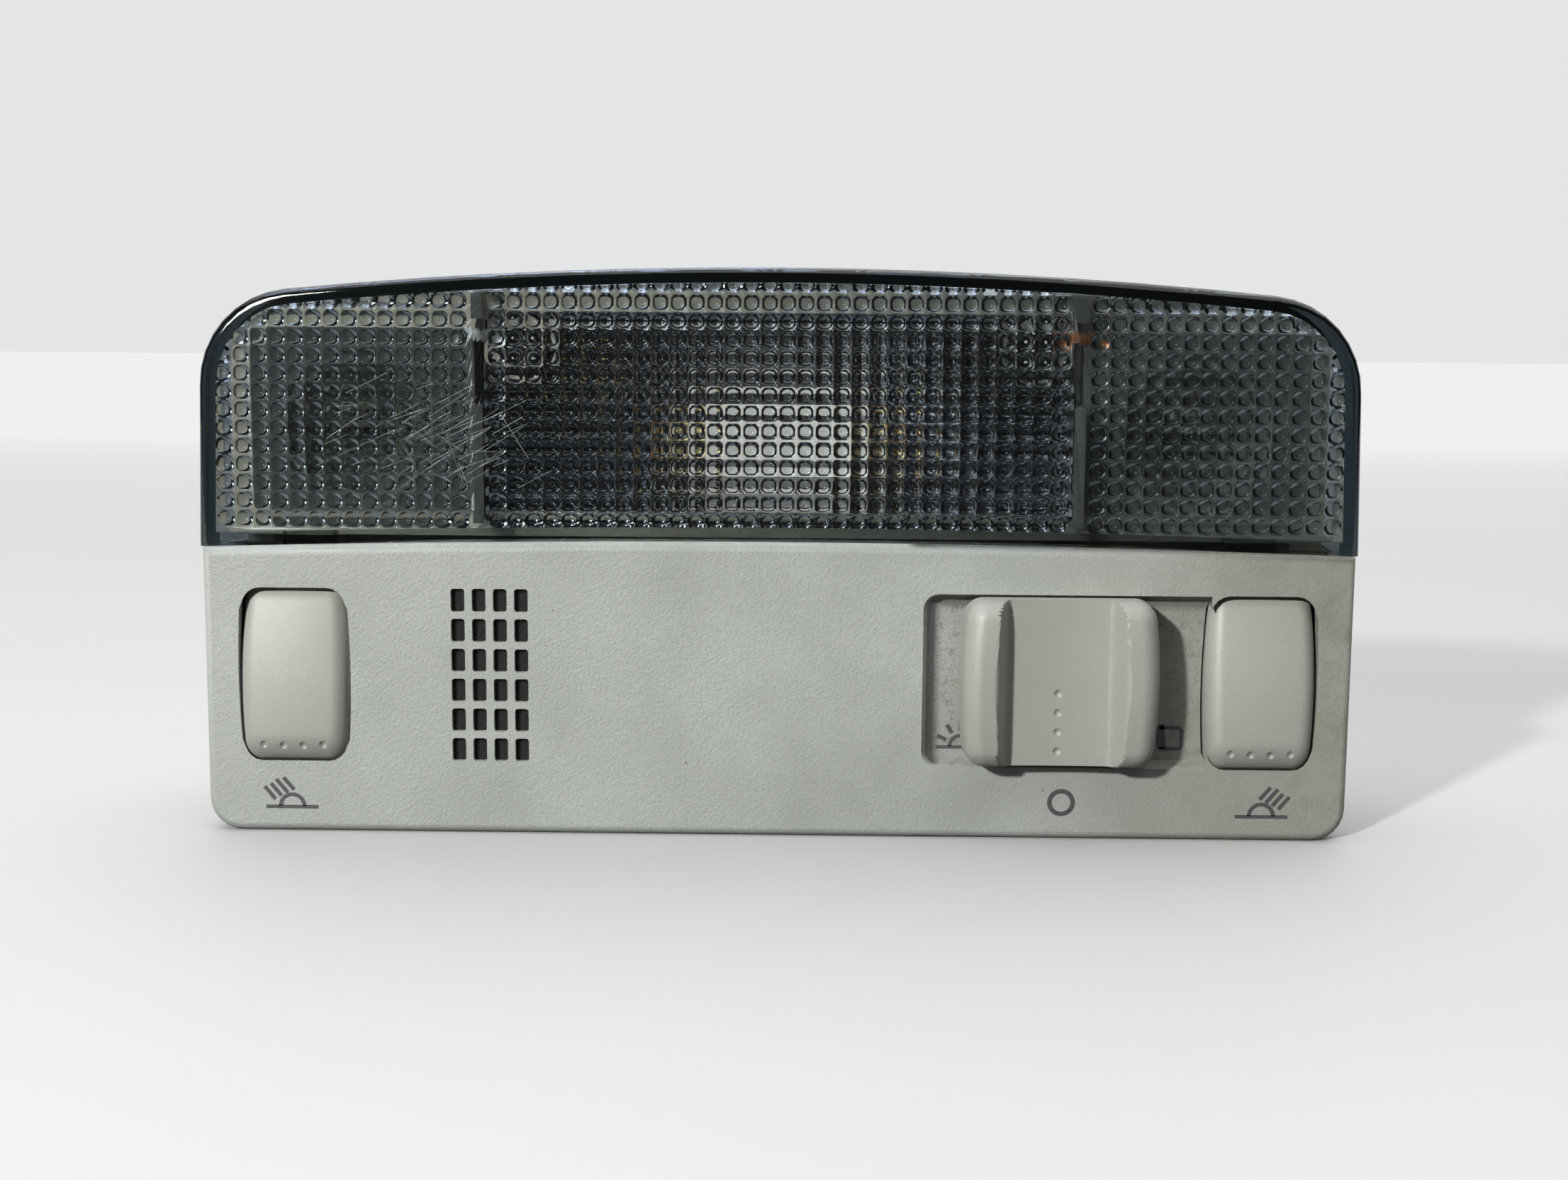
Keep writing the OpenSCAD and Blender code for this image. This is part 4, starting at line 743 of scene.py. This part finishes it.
def ink():
    """Pad-printing ink: matt, dark grey, slightly uneven where the pad lifted."""
    material, tree, shader, place = new_material("pad_printing_ink")
    lift = add(tree, "TexNoise", {"Vector": place, "Scale": per_mm(0.6), "Detail": 3})
    share = add(tree, "MapRange", {"Value": lift, **window(0.55, 0.8, 0.0, 0.5)})
    full, thin = linear("#45484b"), linear("#6a6c6a")
    shade = add(tree, "Mix", {"Factor": share, "A": full, "B": thin}, data_type="RGBA")
    tree.links.new(shade, shader.inputs["Base Color"])
    shader.inputs["Roughness"].default_value = 0.6
    return material


ink_material = ink()


def bar(bm, start, end, width):
    """A bar of ink between two points of the sign, given as x, z in mm."""
    (x0, z0), (x1, z1) = start, end
    length = math.hypot(x1 - x0, z1 - z0)
    scale = Matrix.Diagonal((length, INK_T, width, 1))
    turned = Matrix.Rotation(-math.atan2(z1 - z0, x1 - x0), 4, "Y")
    place = Matrix.Translation(((x0 + x1) / 2, 0, (z0 + z1) / 2))
    bmesh.ops.create_cube(bm, size=1, matrix=place @ turned @ scale)


def ring(bm, centre, outer, inner, start=0.0, sweep=360.0):
    """A ring of ink, or a part of one, spun from a small rectangle."""
    x, z = centre
    a = math.radians(start)
    half = INK_T / 2
    corners = [(inner, -half), (outer, -half), (outer, half), (inner, half)]
    section = [bm.verts.new((x + r * math.cos(a), y, z + r * math.sin(a))) for r, y in corners]
    face = bm.faces.new(section)
    full = sweep >= 360
    bmesh.ops.spin(
        bm,
        geom=[face, *face.edges, *face.verts],
        cent=(x, 0, z),
        axis=(0, -1, 0),
        angle=math.radians(sweep),
        steps=48,
        use_merge=full,
    )
    if full:
        bmesh.ops.delete(bm, geom=[face], context="FACES_ONLY")


def sign_piece(name, draw, depth_mm):
    """A printed sign, its ink lying depth_mm behind the face."""
    bm = bmesh.new()
    draw(bm)
    shift = Matrix.Translation((0, FACE_Y + depth_mm - INK_T / 2, 0))
    bmesh.ops.transform(bm, matrix=Matrix.Scale(MM, 4) @ shift, verts=bm.verts)
    bmesh.ops.recalc_face_normals(bm, faces=bm.faces)
    return piece_from(bm, name, "root", ink_material)


def off_sign(bm):
    """The sign under the knob: an O."""
    ring(bm, (45.09, 5.97), 2.2, 1.47)


def reading_sign(side):
    """The sign under a rocker: a base line, a half round lamp and four slanting rays."""

    def draw(bm):
        bar(bm, (side * 72.5, 4.0), (side * 80.8, 4.0), 0.58)
        ring(bm, (side * 76.6, 4.1), 2.2, 1.58, 0, 180)
        for i in range(4):
            foot = Vector((side * (76.3 + 1.0 * i), 6.75 - 0.5 * i))
            # the second ray is a little longer
            tip = foot + Vector((side * 1.75, 2.1)) * (0.95 + 0.1 * (i == 1))
            bar(bm, foot, tip, 0.62)

    return draw


def lamp_on_sign(bm):
    """The sign on the recess's left end: a lamp with rays all round."""
    lamp = Vector((29.2, 14.35))
    bar(bm, (25.3, 14.25), (32.5, 14.25), 0.55)
    ring(bm, lamp, 2.0, 1.42, 0, 180)
    for angle in (25, 58, 90, 122, 155):
        a = math.radians(angle)
        way = Vector((math.cos(a), math.sin(a)))
        bar(bm, lamp + way * 2.5, lamp + way * 4.1, 0.66)


def door_sign(bm):
    """The sign on the recess's right end: an open car door, drawn as a rounded outline."""
    left, right, low, high = 60.6, 64.1, 14.3, 17.7
    corner = 0.6
    bar(bm, (left, high), (right - corner, high), 0.6)
    bar(bm, (left, low), (right - corner, low), 0.6)
    bar(bm, (right, low + corner), (right, high - corner), 0.6)
    for centre, first in (((right - corner, high - corner), 0), ((right - corner, low + corner), 270)):
        ring(bm, centre, 0.9, 0.3, first, 90)
    bar(bm, (61.0, 14.3), (60.6, 18.2), 1.5)


sign_piece("off_sign", off_sign, ON_FACE)
sign_piece("left_reading_sign", reading_sign(-1), ON_FACE)
sign_piece("right_reading_sign", reading_sign(1), ON_FACE)
sign_piece("lamp_on_sign", lamp_on_sign, ON_RECESS)
sign_piece("door_sign", door_sign, ON_RECESS)
print("signs printed: 5")

# %% [markdown]
# ## Scratches in the acrylic
# Acrylic is soft. Fine scratches catch the light as thin pale lines, most of them in one slanting patch
# on the left. Each is a sliver 0.02 to 0.05 mm wide in the surface, and 70 of them are enough.

# %% Scratches
# sizes in mm and angles in degrees
SCRATCH_COUNT = 70
SCRATCH_PATCH = Vector((-54.0, 62.5))
SCRATCH_SPREAD = Vector((17, 10))
SLANT, SLANT_SPREAD = 28, 8
# every sixth scratch crosses the others
CROSS_EVERY, CROSS_SLANT, CROSS_SPREAD = 6, -35, 40
SHORTEST, LONGER_BY = 2.5, 6.5
THINNEST, WIDER_BY = 0.022, 0.025
SLIVER_T = 0.006
# the lens's face lies this far in front of the cover's, and the slivers' middle a hair in front of it
LENS_PROUD, SLIVER_PROUD = 0.6, 0.004


def scratched_acrylic():
    """The torn edge of a scratch is white, because it scatters light."""
    material, tree, shader, place = new_material("torn_acrylic")
    fade = add(tree, "TexNoise", {"Vector": place, "Scale": per_mm(1.5)})
    share = add(tree, "MapRange", {"Value": fade, **window(0.35, 0.65)})
    faint, torn = linear("#8d9494"), linear("#d4d9d8")
    shade = add(tree, "Mix", {"Factor": share, "A": faint, "B": torn}, data_type="RGBA")
    tree.links.new(shade, shader.inputs["Base Color"])
    shader.inputs["Roughness"].default_value = 0.4
    return material


def scratches():
    """The slivers, thrown with a fixed seed. More of them are short than long."""
    bm = bmesh.new()
    front_y = FACE_Y - LENS_PROUD - SLIVER_PROUD
    dice = random.Random(11)
    for i in range(SCRATCH_COUNT):
        turn_by = dice.uniform(-1, 1)
        crossing = i % CROSS_EVERY == 0
        slant = CROSS_SLANT + CROSS_SPREAD * turn_by if crossing else SLANT + SLANT_SPREAD * turn_by
        length = SHORTEST + LONGER_BY * dice.random() ** 2
        wide = THINNEST + WIDER_BY * dice.random()
        x = SCRATCH_PATCH.x + dice.triangular(-SCRATCH_SPREAD.x, SCRATCH_SPREAD.x, 0)
        z = SCRATCH_PATCH.y + dice.triangular(-SCRATCH_SPREAD.y, SCRATCH_SPREAD.y, 0)
        place = Matrix.Translation((x, front_y, z)) @ Matrix.Rotation(-math.radians(slant), 4, "Y")
        bmesh.ops.create_cube(bm, size=1, matrix=place @ Matrix.Diagonal((length, SLIVER_T, wide, 1)))
    bmesh.ops.transform(bm, matrix=Matrix.Scale(MM, 4), verts=bm.verts)
    return piece_from(bm, "lens_scratches", "root", scratched_acrylic())


scratches()

# %% [markdown]
# ## Table, daylight and view
# The light stands on a plain white table in a white room. The table runs far back, where it meets the
# pale air. The window is two lamps in one place at the upper left: a small one casts the shadows to the
# right, and a wider one shows only as glare in glossy surfaces. A wide ceiling lamp fills from above, and
# a narrow bluish strip gives glossy edges a fine highlight. The air is pale behind the light and dark
# behind the camera, as the room was, so the lens stays dark.

# %% Stage
# sizes and places of the stage in metres
TABLE_HALF_W = 9
TABLE_MIDDLE = (0, 8.6, 0)
# the table begins to glow here, and glows fully from there on
GLOW_Y = (0.15, 1.3)
TABLE_GLOW = 0.745
WINDOW = (-0.63, -0.98, 0.53)
LIGHT_MIDDLE = (0, 0, 0.04)


def painted_table():
    """White lacquer on a table top, nearly matt. Far behind it glows softly, to meet the pale air."""
    material, tree, shader, place = new_material("white_lacquered_table")
    cloud = add(tree, "TexNoise", {"Vector": place, "Scale": per_mm(160)})
    share = add(tree, "MapRange", {"Value": cloud, **window(0.35, 0.7)})
    clean, dusty = linear("#cdcdce"), linear("#cbcbcc")
    shade = add(tree, "Mix", {"Factor": share, "A": clean, "B": dusty}, data_type="RGBA")
    backward = add(tree, "SeparateXYZ", {"Vector": place}, out="Y")
    far_off = add(tree, "MapRange", {"Value": backward, **window(*GLOW_Y)})
    shade = add(tree, "Mix", {"Factor": far_off, "A": shade, "B": linear("#202020")}, data_type="RGBA")
    glow = add(tree, "MapRange", {"Value": far_off, **window(0.0, 1.0, 0.0, TABLE_GLOW)})
    tree.links.new(shade, shader.inputs["Base Color"])
    tree.links.new(glow, shader.inputs["Emission Strength"])
    shader.inputs["Emission Color"].default_value = (1, 1, 1, 1)
    shader.inputs["Roughness"].default_value = 0.6
    return material


bm = bmesh.new()
table_place = Matrix.Translation(TABLE_MIDDLE)
bmesh.ops.create_grid(bm, x_segments=1, y_segments=1, size=TABLE_HALF_W, matrix=table_place)
floor_mesh = bpy.data.meshes.new("table")
bm.to_mesh(floor_mesh)
bm.free()
floor_mesh.materials.append(painted_table())
floor = bpy.data.objects.new("table", floor_mesh)
bpy.context.scene.collection.objects.link(floor)
# the table was lit far more than the room, so it's kept from lighting the lamp from below
floor.visible_diffuse = False


def soft_lamp(name, place, aim, size, power, colour, lights="all"):
    """A rectangular lamp. It can light by matt scattering only, or show in glossy surfaces only."""
    data = bpy.data.lights.new(name, "AREA")
    data.shape = "RECTANGLE"
    data.size, data.size_y = size
    data.energy = power
    data.color = linear(colour)[:3]
    lamp = bpy.data.objects.new(name, data)
    lamp.location = place
    lamp.rotation_euler = (Vector(aim) - Vector(place)).to_track_quat("-Z", "Y").to_euler()
    lamp.visible_diffuse = lights != "glossy"
    lamp.visible_glossy = lamp.visible_transmission = lights != "matt"
    bpy.context.scene.collection.objects.link(lamp)
    return lamp


# the window's edge is sharp in the shadows, but its glare shows wider in each pillow
soft_lamp("window", WINDOW, LIGHT_MIDDLE, (0.07, 0.07), 14.6, "#fffffa", "matt")
soft_lamp("window_glare", WINDOW, LIGHT_MIDDLE, (0.4, 0.4), 28.0, "#fffffa", "glossy")
soft_lamp("ceiling", (0.05, 0.1, 1.5), (0, 0, 0), (2.6, 2.6), 29.0, "#fffefd")
soft_lamp("strip", (-0.3, 0.16, 0.9), (-0.05, 0, 0.08), (1.1, 0.06), 3.2, "#a9b9ff", "glossy")

world = bpy.data.worlds.new("room")
bpy.context.scene.world = world
world.use_nodes = True
sky = world.node_tree
direction = add(sky, "TexCoord", out="Generated")
backward = add(sky, "SeparateXYZ", {"Vector": direction}, out="Y")
upward = add(sky, "SeparateXYZ", {"Vector": direction}, out="Z")
# the air pales towards the back and, less, upwards
paleness = add(sky, "Math", {0: upward, 1: 0.4, 2: backward}, operation="MULTIPLY_ADD")
behind = add(sky, "MapRange", {"Value": paleness, **window(0.2, 0.75)})
air = add(sky, "Mix", {"Factor": behind, "A": linear("#1e2023"), "B": linear("#eff0f1")}, data_type="RGBA")
sky.links.new(air, sky.nodes["Background"].inputs["Color"])
sky.nodes["Background"].inputs["Strength"].default_value = 0.9

bpy.context.scene.view_settings.view_transform = "Standard"
bpy.context.scene.view_settings.exposure = 0.0
print("stage set")
